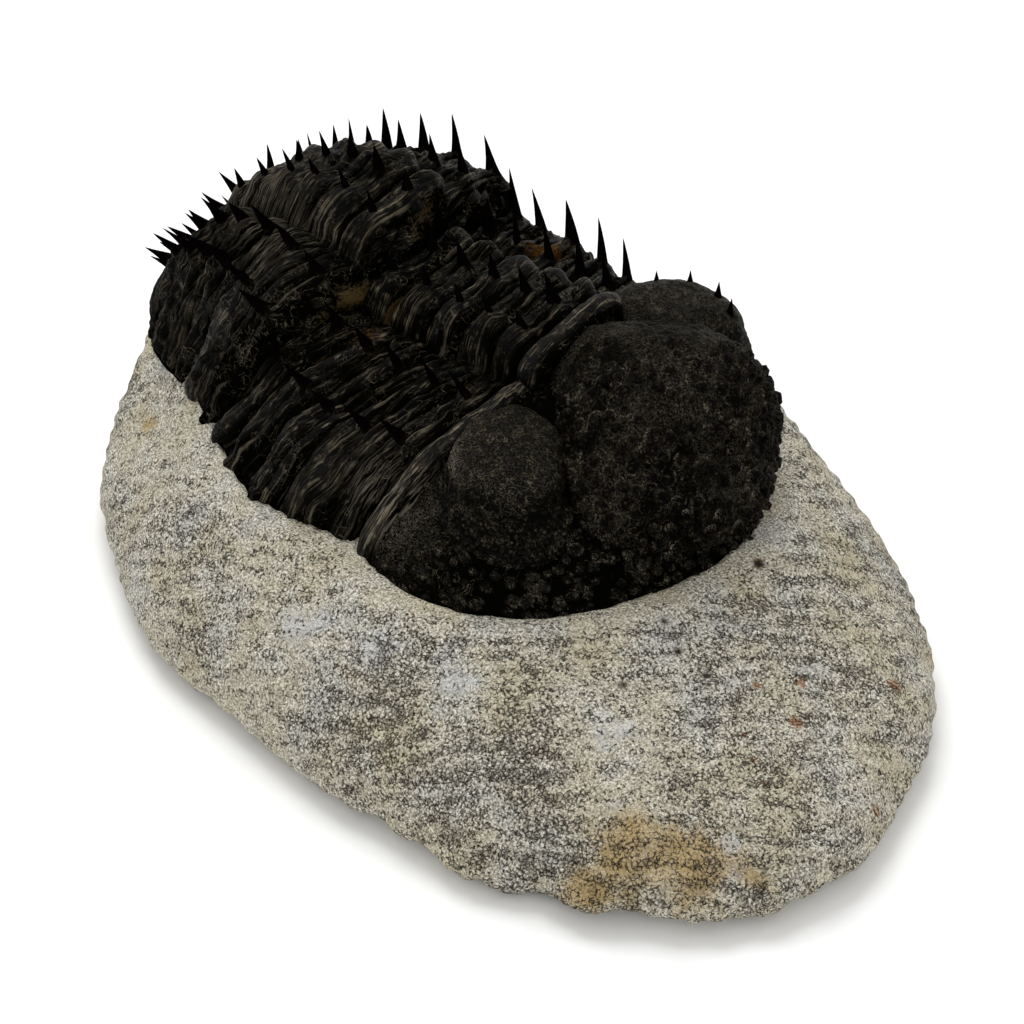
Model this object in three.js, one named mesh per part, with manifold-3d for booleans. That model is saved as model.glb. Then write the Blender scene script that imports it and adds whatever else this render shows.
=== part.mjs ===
// A spiny trilobite on the block of limestone it was cleaned out of. Millimetres, +Z up.
// +X is where the head points, +Y is the animal's left, and the origin is on the flat spot under the stone.

import * as THREE from "three";
import { mergeVertices } from "three/addons/utils/BufferGeometryUtils.js";
import Module from "manifold-3d";

const wasm = await Module();
wasm.setup();

const GAP = 0.3; // clearance between two plates
const HOLLOW_GAP = 0.45; // clearance between the fossil and the stone
const FOSSIL_AT = [3, 11, 0]; // the back of the head on the midline, in the stone's frame
const EDGE_Z = 24; // height of the plates' lower edges, a little way into the stone
const FOOT_Z = EDGE_Z - 1.2; // underside of the head
const PLATE_COUNT = 11; // plates of the thorax
const HEAD_LEFT = 0.86; // width of the head's left side against its right, which is less pressed
const BREAK_AFTER = 5; // the thorax is broken behind this plate, and the rest stands higher

// Sections across the back. x and z place the crest, right and left are the widths of the two sides, axial is
// half the width of the middle lobe and arch its height. Towards the lower edge the section is pushed back by
// sweep, late, and by lean, evenly with its fall.
const FRONT_SECTIONS = [
  { x: -3, z: 51.5, right: 35.5, left: 31.8, axial: 11, arch: 6, lean: 0, sweep: 12 },
  { x: -16, z: 50.8, right: 35.5, left: 38.3, axial: 10.8, arch: 6, lean: 2, sweep: 16 },
  { x: -29.5, z: 51.5, right: 26, left: 39.5, axial: 10.3, arch: 6, lean: 4, sweep: 16 },
];
const REAR_SECTIONS = [
  { x: -30.5, z: 59.5, right: 26, left: 41, axial: 10, arch: 7, lean: 4, sweep: 16 },
  { x: -40, z: 62.5, right: 19, left: 36.5, axial: 9.2, arch: 7, lean: 6, sweep: 14 },
  { x: -50, z: 59, right: 15, left: 28.6, axial: 8, arch: 6.5, lean: 6, sweep: 12 },
  { x: -60.5, z: 50.5, right: 11.5, left: 20.7, axial: 6.4, arch: 5.5, lean: 4, sweep: 9 },
  { x: -68, z: 42, right: 8.5, left: 14.6, axial: 4.8, arch: 4.2, lean: 2, sweep: 6 },
  { x: -74, z: 33.5, right: 6, left: 9, axial: 3.2, arch: 2.6, lean: 1, sweep: 3 },
  { x: -77.5, z: 26.5, right: 3.5, left: 4.5, axial: 1.6, arch: 1, lean: 0, sweep: 1.5 },
];
const SWEEP_POWER = 2; // how late the sweep sets in
const LEFT_SWEEP = 0.55; // the left side is swept less than the right
const TAIL_FROM = 3; // index in REAR_SECTIONS where the tail shield begins
const TAIL_RIBS = 6;
const TAIL_RELIEF = { rib: 0.7, groove: -0.5, fade: 0.6 };

// Shape across one plate: share of the width against share of the fall, first over the middle lobe, then
// over the side rib, which bends down past its knee.
const LOBE_SHAPE = [[0, 0], [0.8, 0.25], [1, 1]];
const RIB_SHAPE = [[0, 0], [0.4, 0.09], [0.66, 0.29], [0.87, 0.62], [1, 1]];

// Relief along one plate, from its front edge to its back edge.
const RELIEF_AT = [0, 0.2, 0.48, 0.8, 1];
const RING_RELIEF = [-0.9, 0.3, 0.9, 0.4, -0.9];
const RIB_RELIEF = [-0.8, 0.6, -0.2, 0.8, -0.8];
const OUTWARD = { rise: 1.4, flat: 0.8 }; // the relief turns from upward to outward towards the lower edge

// Spines: share of the middle lobe (lobe) or of the side rib (rib), and length.
const SPINE_ROWS = [
  { lobe: 0.08, length: 5.6 },
  { lobe: -0.6, length: 5.4 },
  { rib: 0.24, length: 6.4 },
  { rib: -0.24, length: 5.6 },
  { rib: 0.6, length: 7.4 },
  { rib: -0.62, length: 6 },
];
const SPINE_RADIUS = 0.85;
const SPINE_SIDES = 4;
const SPINE_ROOT = 0.22; // share of its length that a spine is sunk into the plate
const SPINE_BEND = 0.09; // how far a spine's tip bends back, against its length
// How a spine leans: back everywhere, further back and outward near the lower edge, and unevenly.
const SPINE_LEAN = { back: 0.12, edgeBack: 0.8, edgeOut: 0.9, uneven: 0.16, tipped: 0.35 };
const SPINE_UNEVEN = 0.14; // how much the lengths differ
const SPINE_WIDTHS = [[-SPINE_ROOT, 1.3], [0.4, 0.75]]; // share of the length, and radius against SPINE_RADIUS
// The tail has rows of smaller spines that are tipped further back from row to row.
const TAIL_SPINES = { rows: 4, first: 0.12, step: 0.22, scale: 0.85, smaller: 0.1, tipped: 0.8, tippedMore: 0.25 };
// Small spines on the rim of the left eye's lid, placed as shares of the eye's half sizes.
const LID_SPINE = { length: 3.2, radius: 0.6, height: 0.86 };
const LID_SPINES_AT = [[-0.72, 0.07], [-0.28, 0.53], [0.28, 0.56], [0.72, 0.21]];

const HEAD_LENGTH = 31; // from the midpoint of the back edge to the front of the rim
const HEAD_BACK = 34; // the rim's curve behind the widest point
const HEAD_HALF = 40;
const CHEEK_TOP = 47;
const FAR_FLAT = 0.14; // how much the rim is flattened at the front left
const GENAL_CORNER = [-12.5, 36]; // rounded corner where the rim meets the back edge
const CHEEK_SHARES = [0.25, 0.5, 0.66, 0.79, 0.89, 0.96, 1]; // rows of points from the middle to the rim
const CHEEK_STEPS = 26; // along the rim
const CHEEK_ROUGH = 0.35; // height of the tubercles
const CHEEK_POWER = 2.6; // how late the cheek falls towards the rim
const CORNER_REACH = 0.975; // keeps the genal corner clear of the stone
const BAND = { ahead: 0.25, long: 4.4, wider: 1.2, higher: 0.3 }; // the band behind the cheeks
// Rows of the band: share of its length, relief of the ring and relief of the borders.
const BAND_ROWS = [[0, -0.5, -0.4], [0.3, 0.7, 0.8], [0.7, 0.7, 0.8], [1, -0.6, -1.2]];

// The swollen front lobe: middle, half sizes, the half widths behind and in front, how full it is below, and
// how much lower it is behind and on the pressed left side.
const GLABELLA = {
  x: 11, z: 36.5, long: 20, high: 19.3, narrow: 10.5, broad: 23.5, full: 2.8, sunk: 0.16, pressed: 0.1,
};
const PUSTULE = 0.5; // height of the pustules on the swollen front lobe

// The eyes: heights, half sizes, and the corner of the lid that is drawn out towards the glabella and raised by
// slope. The profile runs from the foot over the wall of lenses and the lid's rim to the middle of the lid.
const EYE = { base: 29, top: 45, long: 8.8, wide: 6.8, corner: [-4, -11.5], drawn: 0.75, slope: 0.2 };
const EYE_PROFILE = [
  [0, 0], [1.34, 0], [1.22, 0.25], [1.1, 0.5], [1, 0.7], [1.04, 0.78], [0.84, 0.91], [0.5, 0.98], [0, 1],
];
const RIGHT_EYE = { side: -1, x: 5.2, y: 25, raised: 0 };
const LEFT_EYE = { side: 1, x: 5.2, y: 20.5, raised: 2 };

// The stone: outline at its widest and the contact line round the fossil, as [x, y].
const STONE_OUTLINE = [
  [70, -3], [72.5, -20], [66.5, -34], [53.5, -44], [38, -49.5], [18, -50.5], [0, -49], [-20, -44.5],
  [-40, -38], [-56, -26.5], [-68, -15], [-75, -2], [-77, 14], [-71, 30], [-56, 43], [-34, 50.5],
  [-8, 52], [15, 49.8], [36.3, 42], [52.8, 29.3], [65.3, 12.5],
];
const CONTACT_OUTLINE = [
  [36.5, 8], [35.5, -2], [30.5, -14], [20, -25], [9, -31], [-4, -31], [-18, -29.5], [-31, -26.5],
  [-42, -18.5], [-52, -10.5], [-62, -3], [-72, 4], [-76, 12], [-68, 22], [-53, 33], [-34, 43],
  [-8, 46.5], [10, 44], [22, 38], [31, 29], [36, 18],
];
// Rings of the stone from the outline (0) to the contact line (1), with their heights.
const STONE_RINGS = [
  [-0.06, 4.5], [0, 8], [0.12, 11.5], [0.32, 15.5], [0.56, 19.5], [0.8, 23], [1, 25.4],
];
const STONE_FOOT = 0.86; // share of the outline that the flat spot takes
const STONE_STEPS = 66; // points round the stone
const STONE_MIDDLE = 26; // height of the stone under the fossil, before the fossil's hollow is cut
// How uneven the stone is: sideways on the broken edge and on the worn top, and in height.
const STONE_ROUGH = { edge: 1.1, top: 0.6, height: 0.7, contact: 0.3 };

// Repeatable noise between -1 and 1 from three coordinates.
function hash(x, y, z) {
  const n = Math.sin(x * 127.1 + y * 311.7 + z * 74.7) * 43758.5453;
  return 2 * (n - Math.floor(n)) - 1;
}

function mix(a, b, t) {
  return a + (b - a) * t;
}

// The value at x on straight lines between [x, value] points.
function between(points, x) {
  const k = Math.max(1, points.findIndex(([at]) => at >= x));
  const [[x0, v0], [x1, v1]] = [points[k - 1], points[k]];
  return mix(v0, v1, (x - x0) / (x1 - x0));
}

function catmullRom(a, b, c, d, t) {
  const t2 = t * t;
  const t3 = t2 * t;
  return 0.5 * (2 * b + (c - a) * t + (2 * a - 5 * b + 4 * c - d) * t2 + (3 * b - 3 * c + d - a) * t3);
}

// The section at position u in a list of sections, with every measure on a smooth curve.
function sectionAt(sections, u) {
  const last = sections.length - 1;
  const i = Math.min(Math.floor(u), last - 1);
  const at = (k) => sections[Math.max(0, Math.min(last, k))];
  const out = {};
  for (const key of Object.keys(sections[0]))
    out[key] = catmullRom(at(i - 1)[key], at(i)[key], at(i + 1)[key], at(i + 2)[key], u - i);
  return out;
}

function widthOf(section, side) {
  return side > 0 ? section.left : section.right;
}

// One side of a section as [y, drop below the crest, on the rib], from the midline to the lower edge.
function halfSection(section, side) {
  const wing = widthOf(section, side) - section.axial;
  const fall = section.z - EDGE_Z - section.arch;
  const lobe = LOBE_SHAPE.map(([w, f]) => [w * section.axial, f * section.arch, false]);
  const rib = RIB_SHAPE.slice(1).map(([w, f]) => [section.axial + w * wing, section.arch + f * fall, true]);
  return [...lobe, ...rib];
}

// A point of the section's surface: side is 1 for the left and -1 for the right.
function surfacePoint(section, [y, drop], side, lift) {
  const share = y / widthOf(section, side);
  const back = section.lean * (drop / (section.z - EDGE_Z)) + section.sweep * share ** SWEEP_POWER;
  const outward = Math.min(1, OUTWARD.rise * share * share);
  return new THREE.Vector3(
    section.x - back * (side > 0 ? LEFT_SWEEP : 1),
    side * (y + lift * outward),
    section.z - drop + lift * (1 - OUTWARD.flat * outward),
  );
}

// One section as a row of points from the left edge to the right edge.
function sectionRing(section, ringLift, ribLift) {
  const row = (side) =>
    halfSection(section, side).map((p, i, all) => {
      const lift = i === all.length - 1 ? 0 : p[2] ? ribLift : ringLift;
      return surfacePoint(section, p, side, lift);
    });
  return [...row(1).slice(1).reverse(), ...row(-1)];
}

// A closed solid under rows of points, with upright walls down to a flat floor. The floor has a row of points
// under each row in footed, which holds the first and the last.
function shell(rings, floor, footed = [0, rings.length - 1]) {
  const n = rings[0].length;
  const feet = footed.map((r) => rings[r].map((p) => new THREE.Vector3(p.x, p.y, floor)));
  const foot = (k) => (rings.length + k) * n;
  const index = [];
  const quads = (a, b) => {
    for (let i = 0; i + 1 < n; i++) index.push(a + i, b + i, a + i + 1, a + i + 1, b + i, b + i + 1);
  };
  let k = 0;
  for (let r = 0; r + 1 < rings.length; r++) {
    const [here, next] = [r * n, (r + 1) * n];
    quads(here, next);
    index.push(foot(k), next, here, foot(k) + n - 1, here + n - 1, next + n - 1);
    if (r + 1 < footed[k + 1]) continue;
    quads(foot(k + 1), foot(k));
    index.push(foot(k), foot(k + 1), next, foot(k) + n - 1, next + n - 1, foot(k + 1) + n - 1);
    k += 1;
  }
  quads(foot(0), 0);
  quads((rings.length - 1) * n, foot(k));
  return solid([...rings.flat(), ...feet.flat()], index);
}

// A manifold solid from points and triangles, turned so that its faces point out.
function solid(points, index) {
  const vertProperties = new Float32Array(points.flatMap((p) => [p.x, p.y, p.z]));
  let volume = 0;
  for (let i = 0; i < index.length; i += 3) {
    const [a, b, c] = [points[index[i]], points[index[i + 1]], points[index[i + 2]]];
    volume += a.dot(b.clone().cross(c));
  }
  const triVerts = new Uint32Array(index);
  if (volume < 0) triVerts.reverse();
  return new wasm.Manifold(new wasm.Mesh({ numProp: 3, vertProperties, triVerts }));
}

// A manifold solid from a closed three.js geometry.
function solidOf(geometry) {
  const bare = geometry.clone();
  bare.deleteAttribute("normal");
  bare.deleteAttribute("uv");
  const merged = mergeVertices(bare, 1e-4);
  const triVerts = new Uint32Array(merged.index.array);
  return new wasm.Manifold(
    new wasm.Mesh({ numProp: 3, vertProperties: merged.attributes.position.array, triVerts }),
  );
}

function joined(solids) {
  return solids.reduce((all, one) => all.add(one));
}

function boxSolid(low, high) {
  const size = high.map((v, i) => v - low[i]);
  const box = new THREE.BoxGeometry(...size);
  box.translate(...low.map((v, i) => v + size[i] / 2));
  return solidOf(box);
}

// A slightly bent spine whose base is sunk into the plate.
function spine(base, direction, length, radius) {
  const sides = SPINE_SIDES;
  const along = direction.clone().normalize();
  const across = new THREE.Vector3(1, 0, 0).cross(along).normalize();
  const third = along.clone().cross(across);
  const bend = new THREE.Vector3(-SPINE_BEND * length, 0, 0);
  const points = [];
  for (const [share, width] of SPINE_WIDTHS)
    for (let i = 0; i < sides; i++) {
      const angle = (2 * Math.PI * i) / sides;
      points.push(
        base.clone()
          .addScaledVector(along, share * length)
          .addScaledVector(bend, Math.max(0, share) ** 2)
          .addScaledVector(across, Math.cos(angle) * radius * width)
          .addScaledVector(third, Math.sin(angle) * radius * width),
      );
    }
  points.push(base.clone().addScaledVector(along, length).add(bend));
  points.push(base.clone().addScaledVector(along, -SPINE_ROOT * length));
  const tip = 2 * sides;
  const foot = tip + 1;
  const index = [];
  for (let i = 0; i < sides; i++) {
    const j = (i + 1) % sides;
    index.push(i, j, sides + i, j, sides + j, sides + i);
    index.push(sides + i, sides + j, tip);
    index.push(j, i, foot);
  }
  return solid(points, index);
}

// The spines of one plate, standing on the section at its middle. Towards the lower edge and the tail they lean
// back, the tail's by tipped.
function spinesOn(section, rows, scale, seed, tipped) {
  const fall = section.z - EDGE_Z - section.arch;
  return rows.map(({ lobe, rib, length }, i) => {
    const share = Math.abs(lobe ?? rib);
    const side = (lobe ?? rib) < 0 ? -1 : 1;
    const wing = widthOf(section, side) - section.axial;
    const at = rib
      ? [section.axial + share * wing, section.arch + between(RIB_SHAPE, share) * fall]
      : [share * section.axial, between(LOBE_SHAPE, share) * section.arch];
    const base = surfacePoint(section, at, side, 0);
    const out = at[0] / widthOf(section, side);
    const { back, edgeBack, edgeOut, uneven } = SPINE_LEAN;
    const leanBack = back + edgeBack * out * out + tipped - uneven * hash(seed, i, 3);
    const upward = 1 - SPINE_LEAN.tipped * tipped;
    const direction = new THREE.Vector3(-leanBack, side * edgeOut * out ** 1.5, upward);
    const grown = length * scale * (1 + SPINE_UNEVEN * hash(seed, i, 7));
    return spine(base, direction, grown, SPINE_RADIUS * scale);
  });
}

// One plate of the thorax between the sections at positions from and to.
function plate(sections, from, to, number) {
  const middle = sectionAt(sections, (from + to) / 2);
  const length = Math.hypot(
    sectionAt(sections, to).x - sectionAt(sections, from).x,
    sectionAt(sections, to).z - sectionAt(sections, from).z,
  );
  const inset = GAP / length;
  const rings = RELIEF_AT.map((t, i) => {
    const u = mix(from, to, mix(inset, 1 - inset, t));
    return sectionRing(sectionAt(sections, u), RING_RELIEF[i], RIB_RELIEF[i]);
  });
  return joined([shell(rings, FOOT_Z), ...spinesOn(middle, SPINE_ROWS, 1, number, 0)]);
}

// The positions of a plate's two edges in its list of sections. Plates are numbered from 0.
function plateSpan(number) {
  if (number < BREAK_AFTER) {
    const step = (FRONT_SECTIONS.length - 1) / BREAK_AFTER;
    return [FRONT_SECTIONS, number * step, (number + 1) * step];
  }
  const step = TAIL_FROM / (PLATE_COUNT - BREAK_AFTER);
  const k = number - BREAK_AFTER;
  return [REAR_SECTIONS, k * step, (k + 1) * step];
}

// The tail shield, with ribs that run back from its middle lobe.
function tailShield() {
  const last = REAR_SECTIONS.length - 1;
  const from = TAIL_FROM + 0.04;
  const rings = [];
  for (let i = 0; i <= 2 * TAIL_RIBS; i++) {
    const u = mix(from, last, i / (2 * TAIL_RIBS));
    const fade = 1 - TAIL_RELIEF.fade * (i / (2 * TAIL_RIBS));
    const raised = i % 2 === 1 ? TAIL_RELIEF.rib : TAIL_RELIEF.groove;
    rings.push(sectionRing(sectionAt(REAR_SECTIONS, u), raised * fade, raised * fade));
  }
  const solids = [shell(rings, FOOT_Z)];
  const { rows, step, scale, smaller, tipped, tippedMore } = TAIL_SPINES;
  for (let i = 0; i < rows; i++) {
    const section = sectionAt(REAR_SECTIONS, mix(from, last, TAIL_SPINES.first + step * i));
    const places = SPINE_ROWS.slice(0, SPINE_ROWS.length - i);
    const seed = 40 + i; // other lengths than the plates'
    solids.push(...spinesOn(section, places, scale - smaller * i, seed, tipped + tippedMore * i));
  }
  return joined(solids);
}

// Reach of the head's rim from the midpoint of the back edge in the direction of angle.
function rimReach(angle) {
  const c = Math.cos(angle);
  const s = Math.sin(angle);
  const long = c > 0 ? HEAD_LENGTH : HEAD_BACK;
  const flat = c > 0 && s > 0 ? 1 - FAR_FLAT * 2 * s * c : 1;
  return flat / Math.hypot(c / long, s / (s > 0 ? HEAD_LEFT * HEAD_HALF : HEAD_HALF));
}

// Height of the cheek at a share of the way to the rim.
function cheekHeight(share) {
  return mix(EDGE_Z, CHEEK_TOP, 1 - share ** CHEEK_POWER);
}

// The domed cheeks and rim of the head, closed underneath.
function cheeks() {
  const [cornerX, cornerY] = GENAL_CORNER;
  const limit = Math.atan2(cornerY, cornerX);
  const steps = CHEEK_STEPS;
  const shares = CHEEK_SHARES;
  const points = [new THREE.Vector3(1, 0, CHEEK_TOP), new THREE.Vector3(1, 0, FOOT_Z)];
  for (let i = 0; i <= steps; i++) {
    const angle = mix(-limit, limit, i / steps);
    const reach = rimReach(angle) * (i === 0 || i === steps ? CORNER_REACH : 1);
    const [rimX, rimY] = [reach * Math.cos(angle), reach * Math.sin(angle)];
    for (const share of shares) {
      const rough = share < 0.5 || share === 1 ? 0 : CHEEK_ROUGH * hash(i, share, 1);
      points.push(new THREE.Vector3(mix(1, rimX, share), rimY * share, cheekHeight(share) + rough));
    }
    points.push(new THREE.Vector3(rimX, rimY, FOOT_Z));
  }
  const row = shares.length + 1;
  const index = [];
  for (let i = 0; i < steps; i++) {
    const a = 2 + i * row;
    const b = a + row;
    index.push(0, a, b);
    for (let k = 0; k + 1 < row; k++) index.push(a + k, a + k + 1, b + k, b + k, a + k + 1, b + k + 1);
    index.push(1, b + row - 1, a + row - 1);
  }
  for (const [start, flip] of [[2, false], [2 + steps * row, true]])
    for (let k = -1; k + 1 < row; k++) {
      const a = k < 0 ? 0 : start + k;
      const b = start + k + 1;
      if (flip) index.push(1, a, b);
      else index.push(1, b, a);
    }
  return solid(points, index);
}

// Raises every vertex that has no raised neighbour, which leaves pustules in an even pattern.
function raisePustules(geometry, height) {
  const position = geometry.attributes.position;
  const index = geometry.index.array;
  const beside = Array.from({ length: position.count }, () => new Set());
  for (let i = 0; i < index.length; i += 3)
    for (const [a, b] of [[0, 1], [1, 2], [2, 0]]) {
      beside[index[i + a]].add(index[i + b]);
      beside[index[i + b]].add(index[i + a]);
    }
  const raised = new Set();
  const p = new THREE.Vector3();
  for (let i = 0; i < position.count; i++) {
    if ([...beside[i]].some((j) => raised.has(j))) continue;
    raised.add(i);
    p.fromBufferAttribute(position, i);
    p.addScaledVector(p.clone().normalize(), height);
    position.setXYZ(i, p.x, p.y, p.z);
  }
}

// The swollen front lobe: an egg that widens forward, full below and lower behind, cut off under the head.
function glabella() {
  const { x, z, long, high, narrow, broad, full, sunk, pressed } = GLABELLA;
  const { smoothstep } = THREE.MathUtils;
  const ball = new THREE.IcosahedronGeometry(1, 6);
  ball.deleteAttribute("normal");
  ball.deleteAttribute("uv");
  const egg = mergeVertices(ball, 1e-4);
  raisePustules(egg, PUSTULE / high);
  const position = egg.attributes.position;
  const p = new THREE.Vector3();
  for (let i = 0; i < position.count; i++) {
    p.fromBufferAttribute(position, i);
    const depth = Math.min(0.999, Math.max(0, -p.z));
    const fuller = (1 - depth ** full) ** (1 / full) / Math.sqrt(1 - depth * depth);
    const lower = p.z > 0 ? 1 - sunk * smoothstep(-p.x, -0.5, 0.8) - pressed * smoothstep(p.y, 0, 1) : 1;
    const width = mix(narrow, broad, smoothstep(p.x, -0.95, 0.55));
    const narrower = p.y > 0 ? 1 - pressed : 1;
    position.setXYZ(i, x + long * fuller * p.x, width * fuller * narrower * p.y, z + high * lower * p.z);
  }
  return solidOf(egg).subtract(boxSolid([-40, -50, -20], [60, 50, FOOT_Z]));
}

// One eye: a lens-covered wall that leans out, under a smooth lid that slopes up to its drawn-out corner.
function eye(place) {
  const wall = new THREE.LatheGeometry(EYE_PROFILE.map(([r, h]) => new THREE.Vector2(r, h)), 16);
  const corner = new THREE.Vector2(...EYE.corner).normalize();
  const position = wall.attributes.position;
  for (let i = 0; i < position.count; i++) {
    const at = new THREE.Vector2(position.getX(i), position.getZ(i));
    const h = position.getY(i);
    const towards = at.length() > 0 ? Math.max(0, at.dot(corner) / at.length()) : 0;
    const reach = 1 + EYE.drawn * towards ** 3;
    const x = EYE.long * reach * at.x;
    const y = EYE.wide * reach * at.y;
    const slope = EYE.slope * h * (x * corner.x + y * corner.y);
    const z = mix(EYE.base, EYE.top, h) + slope + place.raised;
    position.setXYZ(i, place.x + x, place.side * (place.y + y), z);
  }
  if (place.side > 0) wall.index.array.reverse();
  return solidOf(wall);
}

// The raised band behind the cheeks: the occipital ring and the back borders of the cheeks.
function backBand() {
  const front = { ...FRONT_SECTIONS[0] };
  const rings = BAND_ROWS.map(([t, ring, rib]) => {
    const section = {
      ...front,
      x: front.x + BAND.ahead + BAND.long * t,
      right: front.right + BAND.wider * t,
      left: front.left + BAND.wider * t,
      z: front.z + BAND.higher,
    };
    return sectionRing(section, ring, rib);
  });
  return shell(rings, FOOT_Z);
}

// A straight-sided block behind the head, whose front follows the swept edge of the first plate and runs on
// past it.
function roomForThorax() {
  const first = FRONT_SECTIONS[0];
  const beyond = 1.15;
  const edge = [];
  for (let i = -10; i <= 10; i++) {
    const share = (i / 10) * beyond;
    const side = share > 0 ? 1 : -1;
    const p = surfacePoint(first, [Math.abs(share) * widthOf(first, side), 0], side, 0);
    edge.push(new THREE.Vector2(p.x + 0.1, p.y));
  }
  const behind = [edge[20], edge[0]].map((p) => new THREE.Vector2(first.x - 40, p.y + Math.sign(p.y) * 3));
  const shape = new THREE.Shape([...edge, ...behind]);
  return solidOf(new THREE.ExtrudeGeometry(shape, { depth: 80, bevelEnabled: false }));
}

function headShield() {
  const domed = joined([cheeks(), glabella(), eye(RIGHT_EYE), eye(LEFT_EYE)]).subtract(roomForThorax());
  const parts = [domed, backBand()];
  for (const [along, out] of LID_SPINES_AT) {
    const base = new THREE.Vector3(
      LEFT_EYE.x + EYE.long * along,
      LEFT_EYE.y + EYE.wide * out,
      mix(EYE.base, EYE.top, LID_SPINE.height) + LEFT_EYE.raised,
    );
    parts.push(spine(base, new THREE.Vector3(0.1 * along, 0.25, 1), LID_SPINE.length, LID_SPINE.radius));
  }
  return joined(parts);
}

// The room that the fossil takes in the stone, a gap wider than the fossil. The hollow under the plates is
// swept, so there it is widened twice as much.
function fossilHollow() {
  const floor = FOOT_Z - HOLLOW_GAP;
  const wider = (section) => ({
    ...section,
    z: section.z + 2,
    right: section.right + 2 * HOLLOW_GAP,
    left: section.left + 2 * HOLLOW_GAP,
  });
  const hollowRings = (sections, steps, behind) => {
    const rings = [];
    for (let i = 0; i <= steps; i++) {
      const u = ((sections.length - 1) * i) / steps;
      rings.push(sectionRing(wider(sectionAt(sections, u)), 0, 1));
    }
    rings[steps].forEach((p) => (p.x -= behind));
    return shell(rings, floor, rings.map((ring, i) => i));
  };
  const rim = [];
  const [cornerX, cornerY] = GENAL_CORNER;
  const limit = Math.atan2(cornerY, cornerX);
  for (let i = 0; i <= 30; i++) {
    const angle = mix(-limit, limit, i / 30);
    const reach = rimReach(angle) + HOLLOW_GAP;
    rim.push(new THREE.Vector2(reach * Math.cos(angle), reach * Math.sin(angle)));
  }
  const ends = [rim[30], rim[0]].map((p) => new THREE.Vector2(p.x - 4, 1.05 * p.y));
  const shape = new THREE.Shape([...rim, ...ends]);
  const head = new THREE.ExtrudeGeometry(shape, { depth: 40, bevelEnabled: false });
  head.translate(0, 0, floor);
  const body = [hollowRings(FRONT_SECTIONS, 10, 3), hollowRings(REAR_SECTIONS, 18, 1.5)];
  return joined([...body, solidOf(head)]).translate(FOSSIL_AT);
}

function closedCurve(points) {
  const curve = points.map(([x, y]) => new THREE.Vector3(x, y, 0));
  return new THREE.CatmullRomCurve3(curve, true, "centripetal");
}

// The block of limestone: rings from the flat spot up the broken side and over the worn top.
function stone() {
  const outline = closedCurve(STONE_OUTLINE);
  const contact = closedCurve(CONTACT_OUTLINE);
  const steps = STONE_STEPS;
  const points = [new THREE.Vector3(0, 0, 0)];
  for (let i = 0; i < steps; i++) points.push(outline.getPoint(i / steps).multiplyScalar(STONE_FOOT));
  STONE_RINGS.forEach(([share, height], k) => {
    for (let i = 0; i < steps; i++) {
      const p = outline.getPoint(i / steps).lerp(contact.getPoint(i / steps), share);
      const rough = k < 2 ? STONE_ROUGH.edge : STONE_ROUGH.top;
      const uneven = k === STONE_RINGS.length - 1 ? STONE_ROUGH.contact : STONE_ROUGH.height;
      p.x += rough * hash(i, k, 1);
      p.y += rough * hash(i, k, 2);
      p.z = height + uneven * hash(i, k, 3);
      points.push(p);
    }
  });
  for (let i = 0; i < steps; i++) {
    const p = contact.getPoint(i / steps).multiplyScalar(0.5);
    p.z = STONE_MIDDLE;
    points.push(p);
  }
  points.push(new THREE.Vector3(0, 6, STONE_MIDDLE));
  const rows = STONE_RINGS.length + 2;
  const top = points.length - 1;
  const index = [];
  for (let i = 0; i < steps; i++) {
    const j = (i + 1) % steps;
    index.push(0, 1 + j, 1 + i);
    for (let k = 0; k + 1 < rows; k++) {
      const a = 1 + k * steps;
      const b = a + steps;
      index.push(a + i, a + j, b + i, a + j, b + j, b + i);
    }
    const rim = 1 + (rows - 1) * steps;
    index.push(rim + i, rim + j, top);
  }
  return solid(points, index).subtract(fossilHollow());
}

function meshOf(name, manifold, material) {
  const mesh = manifold.getMesh();
  const geometry = new THREE.BufferGeometry();
  geometry.setAttribute("position", new THREE.BufferAttribute(mesh.vertProperties, 3));
  geometry.setIndex(new THREE.BufferAttribute(mesh.triVerts, 1));
  geometry.computeVertexNormals();
  const out = new THREE.Mesh(geometry, material);
  out.name = name;
  return out;
}

const limestone = new THREE.MeshStandardMaterial({ color: 0xb9b1a3, roughness: 0.95, metalness: 0 });
const shellBlack = new THREE.MeshStandardMaterial({ color: 0x15130f, roughness: 0.42, metalness: 0 });

const fossil = new THREE.Group();
fossil.position.set(...FOSSIL_AT);
fossil.add(meshOf("head_shield", headShield(), shellBlack));
for (let i = 0; i < PLATE_COUNT; i++) {
  const name = "thorax_segment_" + String(i + 1).padStart(2, "0");
  fossil.add(meshOf(name, plate(...plateSpan(i), i), shellBlack));
}
fossil.add(meshOf("tail_shield", tailShield(), shellBlack));

const part = new THREE.Group();
part.add(meshOf("matrix_stone", stone(), limestone));
part.add(fossil);

export default part;
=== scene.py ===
import math

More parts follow.
